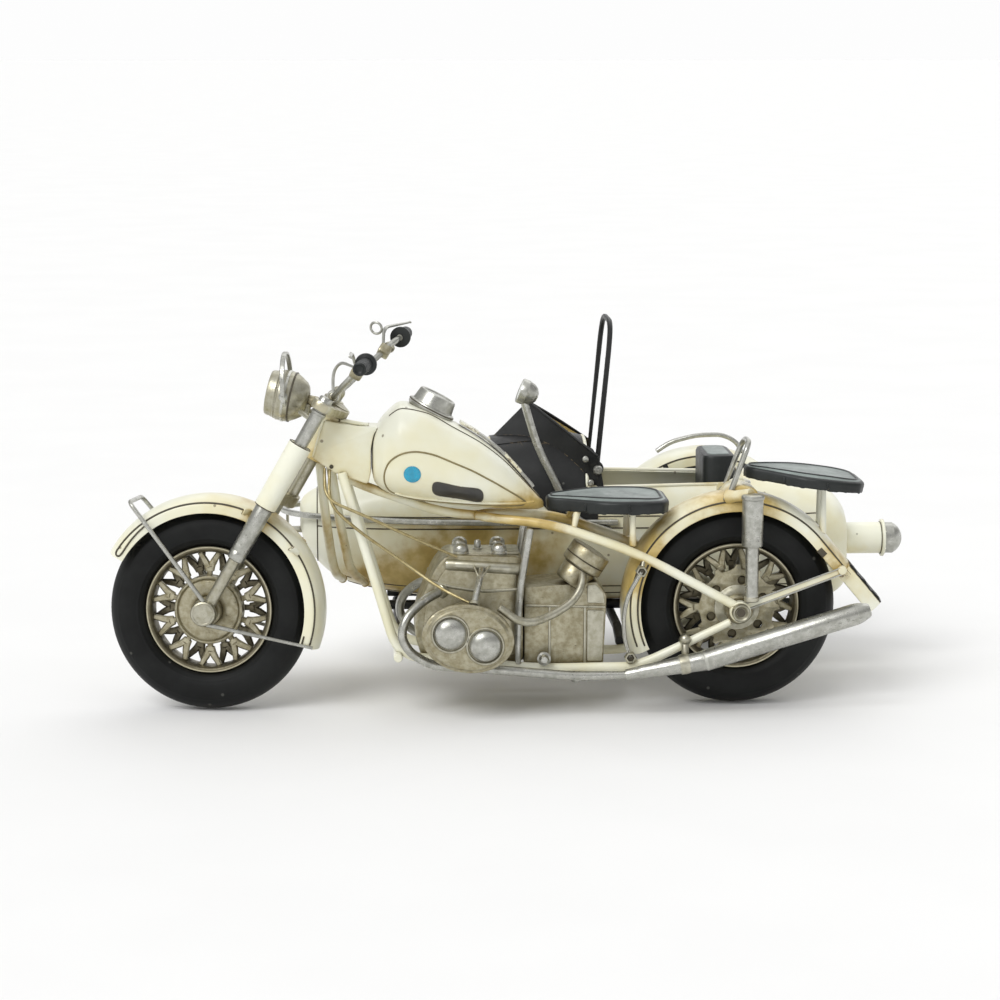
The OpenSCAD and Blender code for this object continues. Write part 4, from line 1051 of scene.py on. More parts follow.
for s in (-1, 1):
    ridge = [(x, s * tank_share(x) * TANK_HALF * RIDGE_SHARE, tank_top(x, RIDGE_SHARE) + 0.03)
        for x in between(-42, 15.2, 60)]
    tank.add(tube(ridge, 0.26, bend=0.2, sides=8, steps=1), GROOVE)


def strap_rows(start, end, half, out):
    rows = []
    for x in between(start, end, 30):
        row = []
        for k in range(9):
            y = half * (k / 4 - 1)
            share = min(0.99, abs(y) / (tank_share(x) * TANK_HALF))
            row.append((x, y, tank_top(x, share) + out))
        rows.append(row)
    return rows


tank.add(sheet(strap_rows(-15.3, 12.2, 2.8, 0.75), -0.9), SILVER)
for start, end in ((-15.3, -8.4), (1.5, 7.5)):
    tank.add(sheet(strap_rows(start, end, 3.0, 0.98), -0.9))
tank.finish("chassis", "cream_paint", "fuel_tank")

CAP = move(-26, 0, tank_high(-26)) @ turn(28, "Y")
cap = Piece("filler_cap", SILVER, GROOVE, place=CAP)
cap.add(lathe([(0, -1.5), (8.6, -1.5), (9.1, -0.9), (9.2, 0.2), (8.9, 0.9), (8.2, 1.1), (8.05, 1.4),
    (7.9, 1.9), (7.35, 5.2), (7.1, 5.75), (6.6, 5.98), (6.1, 5.85), (5.8, 5.45), (5.2, 5.3), (4.2, 5.3),
    (3.9, 5.5), (3.4, 5.55), (0, 5.6)], 72))
cap.add(lathe([(8.4, 0.75), (9.25, 0.5), (9.35, 0.2), (9.0, -0.2), (8.4, 0.0)], 72, ring=True), GROOVE)
cap.finish("chassis", "chrome_trim", "tank_cap")

badges = Piece("tank_badge_marks", BLUE, DARK_BAR)
for s, flip in ((-1, HERE), (1, FLIP_Y)):
    rows = []
    for k, out in ((1.0, -1.0), (1.0, 0.18), (0.93, 0.34), (0.5, 0.38), (0.02, 0.38)):
        spots = [(-33.7 + 3.2 * k * p.x, 92.1 + 3.2 * k * p.y) for p in circle(1, 40)]
        rows.append([(x, -tank_side(x, z) - out, z) for x, z in spots])
    badges.add(skin(rows), BLUE, flip)
    pill = rounded([(-2.7, -2.9), (17, -2.9), (17, 2.9), (-2.7, 2.9)], 2.9, 8, closed=True)
    rows = []
    for k, out in ((1.0, -1.0), (1.0, 0.2), (0.93, 0.42), (0.5, 0.46), (0.02, 0.46)):
        row = []
        for p in pill:
            u, v = 7.15 + (p.x - 7.15) * k, p.y * k
            x, z = -23.7 + u * math.cos(0.19), 86.3 - u * math.sin(0.19) + v
            row.append((x, -tank_side(x, z) - out, z))
        rows.append(row)
    badges.add(skin(rows), DARK_BAR, flip)
badges.finish("chassis", "blue_enamel", "tank_badges")


# ---------------------------------------------------------------- saddles

SADDLE = [(0, 3.5), (2, 5.5), (7, 8), (14, 12.5), (20, 16.5), (26, 18), (38, 18.2), (43.5, 16), (46, 11)]
LOOP_POINTS = 180
# The levels of a saddle's section that make its raised line, its skirt and its uneven hem
RAISED_LINE, SKIRT_START, HEM = (4, 5, 6, 7), 9, range(12, 17)


def saddle(name, nodes, place, stretch, thick):
    """A pressed tin saddle: a dished top inside a raised line, and a skirt folded down around it."""
    half = rounded([(0, 0.01)] + SADDLE + [(46, 0.01)], 2.0, 4)
    loop = [Vector((p.x * stretch, -p.y)) for p in half] + [Vector((p.x * stretch, p.y))
        for p in reversed(half)]
    even, lengths = [], [0]
    for a, b in zip(loop, loop[1:] + loop[:1]):
        lengths.append(lengths[-1] + (b - a).length)
    for i in range(LOOP_POINTS):
        d = lengths[-1] * i / LOOP_POINTS
        k = int(np.searchsorted(lengths, d, side="right")) - 1
        k = min(k, len(loop) - 1)
        span = max(lengths[k + 1] - lengths[k], 1e-9)
        even.append(loop[k].lerp(loop[(k + 1) % len(loop)], (d - lengths[k]) / span))
    front, rear_end = 9 * stretch, 33 * stretch

    def towards(p, share):
        """share 1 is the outline and 0 is the saddle's middle line."""
        middle = Vector((min(max(p.x, front), rear_end), 0))
        return middle.lerp(p, share)

    def crown(p):
        return 0.7 * math.cos(min(1.0, abs(p.x - 22 * stretch) / (26 * stretch)) * math.pi / 2)

    levels = [(0.02, thick - 0.75), (0.25, thick - 0.8), (0.5, thick - 0.75), (0.66, thick - 0.6),
        (0.745, thick - 0.45), (0.765, thick - 0.12), (0.79, thick - 0.02), (0.815, thick - 0.12),
        (0.835, thick - 0.5), (0.9, thick - 0.62), (0.955, thick - 0.85), (0.985, thick - 1.25),
        (1.0, thick - 1.8), (1.0, thick * 0.45), (0.99, thick * 0.36), (0.985, 0.6), (0.97, 0.0),
        (0.93, -0.1), (0.9, 0.4), (0.88, thick - 2.2), (0.5, thick - 2.0), (0.02, thick - 2.0)]
    piece = Piece(name, SEAT_TOP_HIGHLIGHT, SEAT)
    rows = []
    for n, (share, z) in enumerate(levels):
        row = []
        for i, p in enumerate(even):
            q = towards(p, share)
            wave = 0.0
            if n in HEM:
                a = TAU * i / LOOP_POINTS
                wave = 0.22 * math.sin(9 * a + 0.6) + 0.16 * math.sin(23 * a) + 0.12 * math.sin(41 * a + 1)
            drop = wave * (1.0 if n >= 14 else 0.4)
            row.append((q.x, q.y * (1 - 0.004 * abs(wave)), z + crown(p) * (share < 0.9) * (n < 12)
                + min(drop, 0.3)))
        rows.append(row)
    shape = skin(rows)
    count = len(even)
    # Painted highlight: the dished top keeps the lighter seat enamel, and the raised line and the skirt take the
    # black.
    piece.add(shape, SEAT_TOP_HIGHLIGHT, place)
    for k, face in enumerate(shape[1]):
        level = min(face) // count
        if level >= SKIRT_START or level in RAISED_LINE:
            piece.kinds[k] = 1
    for a, b in (((14 * stretch, -12.6), (14 * stretch, -12.9)),
        ((30 * stretch, -18.3), (30.6 * stretch, -18.3))):
        for s in (-1, 1):
            piece.add(tube([(a[0], s * (-a[1] - 0.15), thick - 1.9), (b[0], s * (-b[1] - 0.1), 0.7)], 0.42,
                sides=8), SEAT, place)
    piece.finish("chassis", "black_paint", *nodes, angle=50)


saddle("rider_saddle_sheet", ["rider_saddle"], move(17.5, 0, 76), 1.0, 5.4)
saddle("pillion_saddle_sheet", ["pillion_saddle"], move(93, 0, 87.8) @ turn(6.5, "Y"), 0.97, 4.8)

posts = Piece("saddle_post_tubes", CREAM)
for path in both([(49.5, -12.6, 63), (49.5, -12.6, 77)]) + both([(123, -4.5, 66), (123, -4.5, 85)]) + both(
        [(29, -8, 76.5), (27, -13.4, 70)]):
    posts.add(tube(path, 1.35, sides=14))
posts.finish("chassis", "cream_paint", "saddle_posts")

grab = Piece("grab_handle_wire", SILVER)
grab.add(tube(joined([(86, -9, 80.4), (93, -7.5, 99), (94.2, -4.5, 101.5)]), 1.1, bend=4))
for s in (-1, 1):
    grab.add(rod((85.5, s * 9.1, 79.4), (86.6, s * 8.9, 82), 1.7, 1.3))
grab.finish("chassis", "chrome_trim", "grab_handle")


# ---------------------------------------------------------------- rear end

tail = Piece("rear_mudguard_sheet", CREAM, GROOVE)
START, STOP = 40, 205
section = guard_section()
rows = [[polar(r, a, y) for r, y in section] for a in between(START, STOP, 96)]
slope = Vector((math.sin(math.radians(START)), 0, -math.cos(math.radians(START))))
straight = [[Vector(p) + slope * d for p in rows[0]] for d in (18.4, 17, 13, 9, 5, 2)]
tail.add(sheet(straight + rows, -GUARD_T), CREAM, REAR)
for s in (-1, 1):
    path = [(a, LINE_R) for a in between(STOP - 4, START, 60)]
    tail.add(seam(s, path), GROOVE, REAR)
    tail.add(seam(s, [(a, 38.2) for a in between(STOP - 3, 150, 16)]), GROOVE, REAR)
    edge_line = curve(sorted((r, -y) for r, y in GUARD_SECTION), 1)
    start = Vector(polar(LINE_R, START, s * (edge_line(LINE_R) + 0.08)))
    tail.add(tube([start, start + slope * 18], 0.34, sides=8), GROOVE, REAR)
    tail.add(side_plate([(29.9, 21.5), (32.2, 19.1), (34.0, 20.7), (31.7, 23.1)], s * 10.15 - 0.4, s
        * 10.15 + 0.4, (), 0.2), GROOVE, REAR)
for s in (-1, 1):
    tail.add(turned((86, s * 9.1, 81.2), (94, s * 16.5, 83), [(0, 0), (2.8, 0), (2.2, 3), (2.4, 10.8),
        (0, 11)], 28))
tail.add(side_plate([(84, 80.6), (87.4, 84.8), (92, 85.4), (97, 83.6), (98.5, 80)], -8.5, 8.5, (), 0.8,
    1.5))
tail.finish("chassis", "cream_paint", "rear_mudguard", angle=50)

flap = Piece("mud_flap_sheet", BLACK, CREAM)
END = REAR_WHEEL + Vector(polar(42.0, START, 0)) + slope * 15.4
lay = axes(slope.cross(Vector((0, 1, 0))) * -1, Vector((0, 1, 0)), slope * -1, END) @ turn(180, "Z")
# The flap hangs down local -Z: a cream channel, and a rippled black face over it
channel, cover = [], []
for d in between(0, 19, 22):
    taper = 1 - 0.06 * (d / 19) ** 3
    ripple = 0.28 * math.sin(d * 0.9) + 0.16 * math.sin(d * 2.3 + 1)
    channel.append([(-4.6, 9.6 * taper, -d), (-1.4, 9.9 * taper, -d), (0.2, 9.3 * taper, -d)]
        + [(0.9 - 0.5 * u * u, 8.6 * u * taper, -d) for u in between(0.95, -0.95, 12)]
        + [(0.2, -9.3 * taper, -d), (-1.4, -9.9 * taper, -d), (-4.6, -9.6 * taper, -d)])
    cover.append([(1.5 - 0.6 * u * u + ripple * abs(u), (9.2 + 0.25 * math.sin(d * 1.7)) * u * taper, -d)
        for u in between(1, -1, 16)])
flap.add(sheet(channel, 0.6), CREAM, lay)
flap.add(sheet(cover, 0.6), BLACK, lay)
flap.finish("chassis", "black_paint", "mud_flap", angle=50)

braces = Piece("mudguard_stay_channels", CREAM, SILVER)
for s in (-1, 1):
    a, b = Vector((92.4, s * 17.4, 40.6)), Vector((130, s * 11.7, 53))
    braces.add(tube([a, b], 1, section=slab(1.0, 3.0), up=(-0.3, 0, 1)))
    for k in (-1, 1):
        shift = Vector((-0.3, 0, 1)).normalized() * 1.25 * k + Vector((0, s * 0.55, 0))
        braces.add(tube([a + shift, b + shift], 0.42, sides=10), SILVER)
    braces.add(rod(b + Vector((-0.5, -s * 1.6, 0)), b + Vector((-0.5, s * 1.2, 0)), 1.7))
braces.finish("chassis", "cream_paint", "mudguard_stays")

SHOCK_X, SHOCK_Y = 94, 19
shocks = Piece("shock_absorber_covers", SILVER, PEWTER)
rods = Piece("shock_absorber_rods", SILVER, PEWTER)
for s in (-1, 1):
    shocks.add(turned((SHOCK_X, s * SHOCK_Y, 63.8), (SHOCK_X, s * SHOCK_Y, 83.4),
        [(2.7, 0), (3.7, 0), (4.0, 0.4), (4.0, 17.4), (3.9, 17.8), (4.35, 18.0), (4.4, 18.6), (4.2, 19.3),
        (3.4, 19.6), (2.7, 19.6)], 44, ring=True))
    shocks.add(rod((SHOCK_X, s * SHOCK_Y, 82.6), (SHOCK_X, s * SHOCK_Y, 83.5), 3.6), PEWTER)
    rods.add(turned((SHOCK_X, s * SHOCK_Y, 42.5), (SHOCK_X, s * SHOCK_Y, 70.5),
        [(0, 0), (2.1, 0), (2.5, 0.4), (2.5, 21), (2.45, 28), (0, 28)], 32))
    rods.add(turned((SHOCK_X, s * SHOCK_Y, 42.6), (SHOCK_X, s * SHOCK_Y, 44.6),
        [(0, 0), (2.5, 0), (2.9, 0.4), (2.9, 1.6), (2.5, 2.0), (0, 2)], 32), PEWTER)
shocks.finish("chassis", "pewter", "shock_covers")
rods.finish("chassis", "pewter", "shock_rods")

spindle = Piece("rear_axle_nuts", PEWTER, GROOVE)
spindle.add(rod((90, -20, 38.5), (90, 20, 38.5), 1.95))
for s in (-1, 1):
    spindle.add(turned((90, s * 18.9, 38.5), (90, s * 21.35, 38.5),
        [(0, 0), (3.4, 0), (3.4, 1.7), (3.1, 2.3), (2.7, 2.42), (2.3, 2.1), (1.75, 1.2), (0, 1.1)], 48))
    spindle.add(turned((90, s * 19.6, 38.5), (90, s * 20.15, 38.5),
        [(0, 0), (1.7, 0), (1.7, 0.5), (0, 0.55)], 32), GROOVE)
spindle.finish("chassis", "pewter", "rear_axle")


# ---------------------------------------------------------------- engine

case = Piece("crankcase_casting", CASTING, PEWTER)
CASE = [(-30, 20), (-33, 30), (-32, 40), (-25.5, 55), (-21, 60.5), (8, 59.5), (8.4, 18.5)]
case.add(side_plate(CASE, -12.6, 12.6, (), 1.2, 3.0))
for s in (-1, 1):
    case.add(side_plate([(x * 0.86 - 1.4, 38 + (z - 38) * 0.84) for x, z in CASE], s * 12.75 - 0.3, s
        * 12.75 + 0.3, (), 0.28, 3.0))
    case.add(rod((-21.5, s * 12.6, 56.9), (7.9, s * 12.6, 54.6), 2.2, soft=1.0), PEWTER)
    case.add(tube([(-27.5, s * 12.6, 50.6), (-21, s * 12.9, 48.6), (-8, s * 13, 46.4),
        (7.6, s * 12.9, 47.2)], 0.7, bend=5, sides=10), PEWTER)
case.add(plate([(-19, -8.5), (7, -8.5), (7, 8.5), (-19, 8.5)], 59.4, 60.6, (), 0.4, 1.5), PEWTER)
case.finish("chassis", "pewter", "crankcase")

covers = Piece("head_cover_castings", CASTING, PEWTER, SILVER)
barrels = Piece("cylinder_barrels", CASTING)
for s in (-1, 1):
    at = move(-13.6, s * 29.8, 32.4) @ turn(8, "Y") @ Matrix.Scale(s, 4, (0, 1, 0)) @ ACROSS
    oval = [(0, -0.2), (0.9, -0.1), (0.965, 0.5), (0.965, 1.7), (1.0, 2.1), (1.0, 3.7), (0.975, 4.1),
        (0.93, 4.2), (0.90, 4.7), (0.90, 5.3), (0.86, 5.9), (0.60, 6.1), (0, 6.15)]
    covers.add(lathe([(r * 12.9, z) for r, z in oval], 96, wide=1.333), CASTING, at)
    for x, z in ((-6.9, 1.4), (6.5, -1.4)):
        dome = at @ move(x, -z, 0)
        covers.add(lathe([(6.4, 5.4), (7.1, 5.6), (7.25, 6.2), (7.0, 6.7), (6.5, 6.7), (6.2, 6.3),
            (6.05, 5.9)], 56, ring=True), PEWTER, dome)
        covers.add(lathe([(5.95, 5.6), (5.9, 6.4), (5.55, 7.0), (4.6, 7.9), (3.2, 8.5), (1.6, 8.8),
            (0, 8.85)], 48), SILVER, dome)
    barrels.add(turned((-13.6, s * 13, 32.4), (-13.6, s * 30.2, 32.4), [(0, 0)] + [
        p for i in range(7) for p in ((8.8, 0.4 + i * 2.4), (8.8, 1.0 + i * 2.4), (10.3, 1.2 + i * 2.4),
                                      (10.3, 2.1 + i * 2.4), (8.8, 2.3 + i * 2.4))] + [(0, 17.2)], 56))
covers.finish("chassis", "pewter", "head_covers")
barrels.finish("chassis", "pewter", "cylinders")

nuts = Piece("dome_nuts_and_plugs", SILVER, PEWTER)
for y in (-7, 7):
    for x in (-15.2, -0.8):
        nuts.add(lathe([(0, -1.6), (3.0, -1.5), (3.3, -1.1), (3.3, 0.1), (2.9, 0.5), (3.0, 1.0), (2.8, 2.2),
            (1.9, 3.2), (0.9, 3.6), (0, 3.7)], 36), SILVER, move(x, y, 60.4))
nuts.add(turned((-8.6, 0, 59.5), (-8.6, 0, 64.4), [(0, 0), (1.9, 0), (1.9, 1.4), (1.3, 1.7), (1.3, 3.8),
    (0.9, 4.4), (0, 4.5)], 24))
for s in (-1, 1):
    foot, top = Vector((-11.4, s * 31.6, 44.4)), Vector((-7.6, s * 15.9, 55.6))
    nuts.add(rod(foot, top, 1.25))
    nuts.add(turned(foot, top, [(0, 0), (1.9, 0), (2.0, 1.2), (1.5, 1.9), (1.2, 2), (0, 2)], 24), PEWTER)
    for spread in (-1, 1):
        nuts.add(tube([foot.lerp(top, 0.72), top + Vector((spread * 3.0, -s * 0.3, 0.9))], 1,
            section=slab(0.9, 2.0), up=(0, s, 0)), PEWTER)
nuts.finish("chassis", "pewter", "cylinder_nuts")

box = Piece("gearbox_casting", CASTING, PEWTER)
BOX = [(8.4, 18), (38.6, 18), (39.8, 44.4), (36, 49.6), (8.4, 47.6)]
box.add(side_plate(BOX, -12.7, 12.7, (), 0.7, 0.8))
for s in (-1, 1):
    for x in (18.1, 31.5):
        box.add(tube([(x, s * 12.8, 18.6), (x, s * 12.8, 40.3)], 1, section=slab(1.1, 0.7), up=(0, 1, 0)),
            PEWTER)
    box.add(tube([(9, s * 12.8, 40.8), (39.4, s * 12.8, 39.9)], 1, section=slab(0.9, 1.1), up=(0, 1, 0)),
        PEWTER)
    box.add(side_plate([(32.4, 19), (38, 19), (38.8, 38.6), (32.4, 38.9)], s * 12.8 - 0.35, s * 12.8 + 0.35,
        (), 0.3, 0.8), PEWTER)
    box.add(side_plate([(32.4, 41.6), (39, 41.4), (38.4, 45.4), (35.6, 48.6), (32.4, 48.4)], s * 12.7
        - 0.35, s * 12.7 + 0.35, (), 0.3, 0.8), PEWTER)
box.finish("chassis", "pewter", "gearbox")

cleaner = Piece("air_cleaner_can", CASTING, PEWTER, GROOVE)
CAN = move(26.5, -8, 49.0) @ turn(33, "Y")
cleaner.add(lathe([(0, -0.6), (6.0, -0.5), (6.5, 0), (6.6, 0.6), (6.6, 5.8), (6.3, 6.2), (6.3, 6.6),
    (7.6, 6.8), (8.0, 7.3), (8.0, 9.6), (7.8, 9.8), (7.8, 10.1), (8.0, 10.3), (8.0, 14.0), (7.7, 14.5),
    (7.0, 14.6), (0, 14.6)], 64), CASTING, CAN)
for z in (9.95, 6.4):
    cleaner.add(ring((0, 0, z), (0, 0, 1), 7.8 if z > 8 else 6.4, 0.22), GROOVE, CAN)
cleaner.add(tube([(-2, -31, 43.8), (4.7, -31, 38.6), (10.4, -29, 37.3), (18.2, -25, 39.3),
    (26.3, -21, 43.6), (30.3, -17.4, 49.6), (30.5, -12, 55)], 1.55, bend=5, sides=18), PEWTER)
cleaner.finish("chassis", "pewter", "air_cleaner")

pipes = Piece("exhaust_pipe_tubes", SILVER, PEWTER)
pipe = [(-23.5, -12.8, 46.4), (-30, -20, 44.4), (-36.6, -24.5, 38.5), (-38.4, -25.5, 32),
    (-35.4, -25.2, 26), (-27.5, -24.4, 20.6), (-1, -24, 18.4), (27, -24, 15.8)]
pipes.add(tube(pipe + [(46.5, -24, 16)], 1.75, bend=6, sides=20))
far = [(x, -y, z) for x, y, z in pipe]
pipes.add(tube(far + [(27.4, 19, 13.6), (27.4, -19, 13.6), (28, -24, 15.6)], 1.75, bend=4, sides=20))
for s in (-1, 1):
    pipes.add(turned((-22.4, s * 11.8, 46.8), (-26.5, s * 16.4, 45.6),
        [(0, 0), (2.9, 0), (2.9, 1.6), (2.3, 2.2), (0, 2.4)], 28), PEWTER)
pipes.finish("chassis", "pewter", "exhaust_pipes")

silencer = Piece("muffler_can", SILVER, PEWTER)
# The muffler's front end, where its cone meets the can, and the can's rear end
A, B, C = (46, -24, 16), (77, -24, 21.4), (133.5, -24, 38.6)
silencer.add(turned(A, B, [(0, 0), (1.9, 0), (2.1, 0.5), (2.2, 5), (2.5, 5.6), (3.75, 29), (3.8, 31.5),
    (0, 31.5)], 44))
silencer.add(turned((75.6, -24, 21.1), C, [(0, 0), (3.8, 0.2), (4.1, 0.6), (4.12, 59.3), (3.9, 60.2),
    (0, 60.2)], 56))
silencer.add(turned(C, (138.3, -24, 40.05), [(0, -0.4), (4.05, -0.4), (3.8, 1.2), (2.8, 4.2), (2.2, 4.95),
    (1.9, 5.0), (1.7, 4.4), (1.6, 1), (0, 0.8)], 44))
silencer.add(turned((66.4, -24, 19.6), (70.2, -24, 20.3), [(2.9, 0), (3.7, 0.2), (3.9, 1.9), (3.7, 3.7),
    (3.0, 3.9)], 36, ring=True), PEWTER)
silencer.add(rod((69, -20.4, 22), (69, -18, 28.6), 1.4), PEWTER)
silencer.add(ball((69, -18.6, 28.2), 2.3), PEWTER)
silencer.finish("chassis", "pewter", "muffler")

link = Piece("brake_strap_bar", SILVER, GROOVE, PEWTER)
bow = [(52.4, -17.8, 54.4), (47.2, -17.8, 45), (45.6, -17.8, 36.8), (46.2, -17.8, 28), (48.4, -17.8, 21.4)]
link.add(tube(bow, 1, bend=5, section=slab(1.5, 2.1, 0.4), up=(0, 1, 0)))
link.add(tube([(p[0], p[1] - 0.8, p[2]) for p in bow], 0.28, bend=5, sides=8), GROOVE)
for end in (bow[0], bow[-1]):
    x, y, z = end
    link.add(turned((x, y + 1.2, z), (x, y - 1.45, z), [(0, 0), (2.3, 0), (2.3, 2.1), (2.0, 2.6),
        (1.5, 2.65), (1.3, 1.6), (0, 1.5)], 6), PEWTER)
    link.add(rod((x, y - 0.2, z), (x, y - 0.75, z), 1.2), GROOVE)
link.add(rod((52.4, -17.8, 54.4), (54, -14.4, 60), 0.8), PEWTER)
link.add(rod((15.6, -12.5, 21.5), (15.6, -20, 21.5), 1.6), PEWTER)
link.add(turned((15.6, -18.4, 21.5), (15.6, -22, 21.5), [(0, 0), (2.6, 0), (2.6, 1.2), (1.9, 1.5),
    (1.8, 2.6), (1.2, 3.4), (0, 3.6)], 32))
link.finish("chassis", "pewter", "brake_strap")

cables = Piece("engine_cable_wires", BRASS)
cables.add(tube([(-66.4, -6.6, 93), (-66.4, -12, 82), (-51.4, -15, 76), (-34.6, -15.8, 68),
    (-17, -14.6, 60)], 0.6, bend=9, sides=10))
cables.add(tube([(-64.5, -6.6, 92.3), (-65, -12.6, 80), (-54.4, -15.4, 70.7), (-38.4, -17, 59.5),
    (-23.7, -24, 49.8), (-13, -31, 45.6)], 0.6, bend=9, sides=10))
cables.finish("chassis", "pewter", "engine_cables")


# ---------------------------------------------------------------- sidecar

# (x, share of the half width, heights of the bottom, of the widest place and of the top)
HULL_HALF, HULL_T = 27.0, 1.1
HULL = [(-77, 0.16, 58, 63, 68), (-75.5, 0.36, 53, 62.5, 70.5), (-71, 0.54, 46, 62, 73.4),
    (-62, 0.74, 38.5, 62, 76.6), (-48, 0.88, 34, 62, 81), (-28, 0.97, 31, 62, 86.6), (0, 1, 29.2, 62, 94),
    (24, 1, 28.6, 62, 96), (44, 1, 28.5, 62, 92), (72, 1, 28.5, 62, 84), (100, 1, 28.5, 62, 80.5),
    (124, 0.92, 29, 60, 77), (138, 0.8, 30, 56, 71), (142, 0.7, 33, 54, 66)]
hull_share, hull_low, hull_wide, hull_high = (curve(HULL, k) for k in (1, 2, 3, 4))
LOW_POWER, TOP_POWER = 3, 2.2
# The opening's two ends and the height of its sides
COCKPIT, COCKPIT_Z = (37, 99), 77


def hull_point(x, a, shrink=1.0):
    """A point of the body's section; a runs from 90 degrees on top, round the near side, to 270 below."""
    c, s = math.cos(a), math.sin(a)
    p = 2 / (TOP_POWER if s > 0 else LOW_POWER)
    rise = (hull_high(x) if s > 0 else 2 * hull_wide(x) - hull_low(x)) - hull_wide(x)
    return (x, HULL_HALF * hull_share(x) * power(c, p) * shrink, hull_wide(x) + rise * power(s, p) * shrink)


def hull_ring(x, shrink=1.0, count=96):
    return [hull_point(x, TAU * i / count + math.pi / 2, shrink) for i in range(count)]


def hull_side(x, z):
    """Half width of the body at a place on its side."""
    up = z - hull_wide(x)
    span, p = (hull_high(x) - hull_wide(x), TOP_POWER) if up > 0 else (hull_wide(x) - hull_low(x),
        LOW_POWER)
    return HULL_HALF * hull_share(x) * (1 - min(0.99, abs(up) / span) ** p) ** (1 / p)


def cut_angle(x):
    return math.asin(((COCKPIT_Z - hull_wide(x)) / (hull_high(x) - hull_wide(x))) ** (TOP_POWER / 2))


hull = Piece("sidecar_body_sheet", CREAM, GROOVE, place=SIDECAR)
nose = [-76.9, -76.4, -75.9] + list(np.linspace(-75.2, COCKPIT[0], 70))
deck = [hull_ring(x) for x in nose]
deck.insert(0, hull_ring(-77, 0.7))
deck.insert(0, hull_ring(-77, 0.02))
hull.add(sheet(deck, -HULL_T, around=True))
tail_stops = list(np.linspace(COCKPIT[1], 141.6, 26))
rear_deck = [hull_ring(x) for x in tail_stops]
rear_deck += [hull_ring(142, k) for k in (0.985, 0.9, 0.5, 0.02)]
hull.add(sheet(rear_deck, -HULL_T, around=True))
tub = []
for x in np.linspace(COCKPIT[0], COCKPIT[1], 34):
    start = cut_angle(x)
    tub.append([hull_point(x, math.pi - start + (math.pi + 2 * start) * i / 72) for i in range(73)])
hull.add(sheet(tub, -HULL_T))
for s in (-1, 1):
    rim = [(x, s * hull_side(x, COCKPIT_Z), COCKPIT_Z) for x in between(COCKPIT[0], COCKPIT[1], 30)]
    hull.add(tube(rim, 0.75, bend=0.2, sides=10, steps=1))
for x in COCKPIT:
    start = cut_angle(x)
    lip = [hull_point(x, start + (math.pi - 2 * start) * i / 30) for i in range(31)]
    hull.add(tube(lip, 0.8, bend=0.2, sides=10, steps=1))


def on_hull(points, s, out=0.02):
    """A line of (x, z) laid on one side of the body."""
    return [(x, s * (hull_side(x, z) + out), z) for x, z in points]


def stripe(start, end, height, sag):
    xs = between(start, end, 56)
    return [(x, height + sag * max(0.0, (-28 - x) / 40) ** 2) for x in xs]


for s in (-1, 1):
    for start, end, height, sag in ((-62, 120, 36.8, 6), (-58, 118, 33.6, 7), (-72, 132, 65.6, 0),
        (-70, 132, 60.9, 0)):
        hull.add(tube(on_hull(stripe(start, end, height, sag), s), 0.26, bend=0.2, sides=8, steps=1),
            GROOVE)
band = hull_ring(-70, 1.004, 72)
hull.add(tube(band, 0.26, bend=0.2, sides=8, steps=1, closed=True), GROOVE)
hull.finish("chassis", "cream_paint", "hull_nose", "hull_left", "hull_right")

bumper = Piece("hull_bumper_strip", SILVER, PEWTER, place=SIDECAR)
side = [(49, -28.1, 63.4), (0, -28.1, 63.6), (-29, -27.4, 64), (-48, -24.8, 64.6), (-62, -21, 65),
    (-72, -17, 65.2), (-80, -11, 65.4), (-84, -3, 65.4)]
bumper.add(tube(joined(side), 1, bend=9, steps=6, section=slab(2.2, 2.2, 0.5), up=(0, 0, 1)))
bumper.add(plate([(-82.6, -5), (-75.9, -5), (-75.9, 5), (-82.6, 5)], 56.5, 57.6, (), 0.3, 0.8), PEWTER)
bumper.add(moved(plate([(-5, 56.5), (5, 56.5), (5, 65.1), (-5, 65.1)], -82.6, -81.6, (), 0.3, 0.8),
    Matrix(((0, 0, 1, 0), (1, 0, 0, 0), (0, 1, 0, 0), (0, 0, 0, 1)))), PEWTER)
bumper.finish("chassis", "chrome_trim", "hull_bumper")

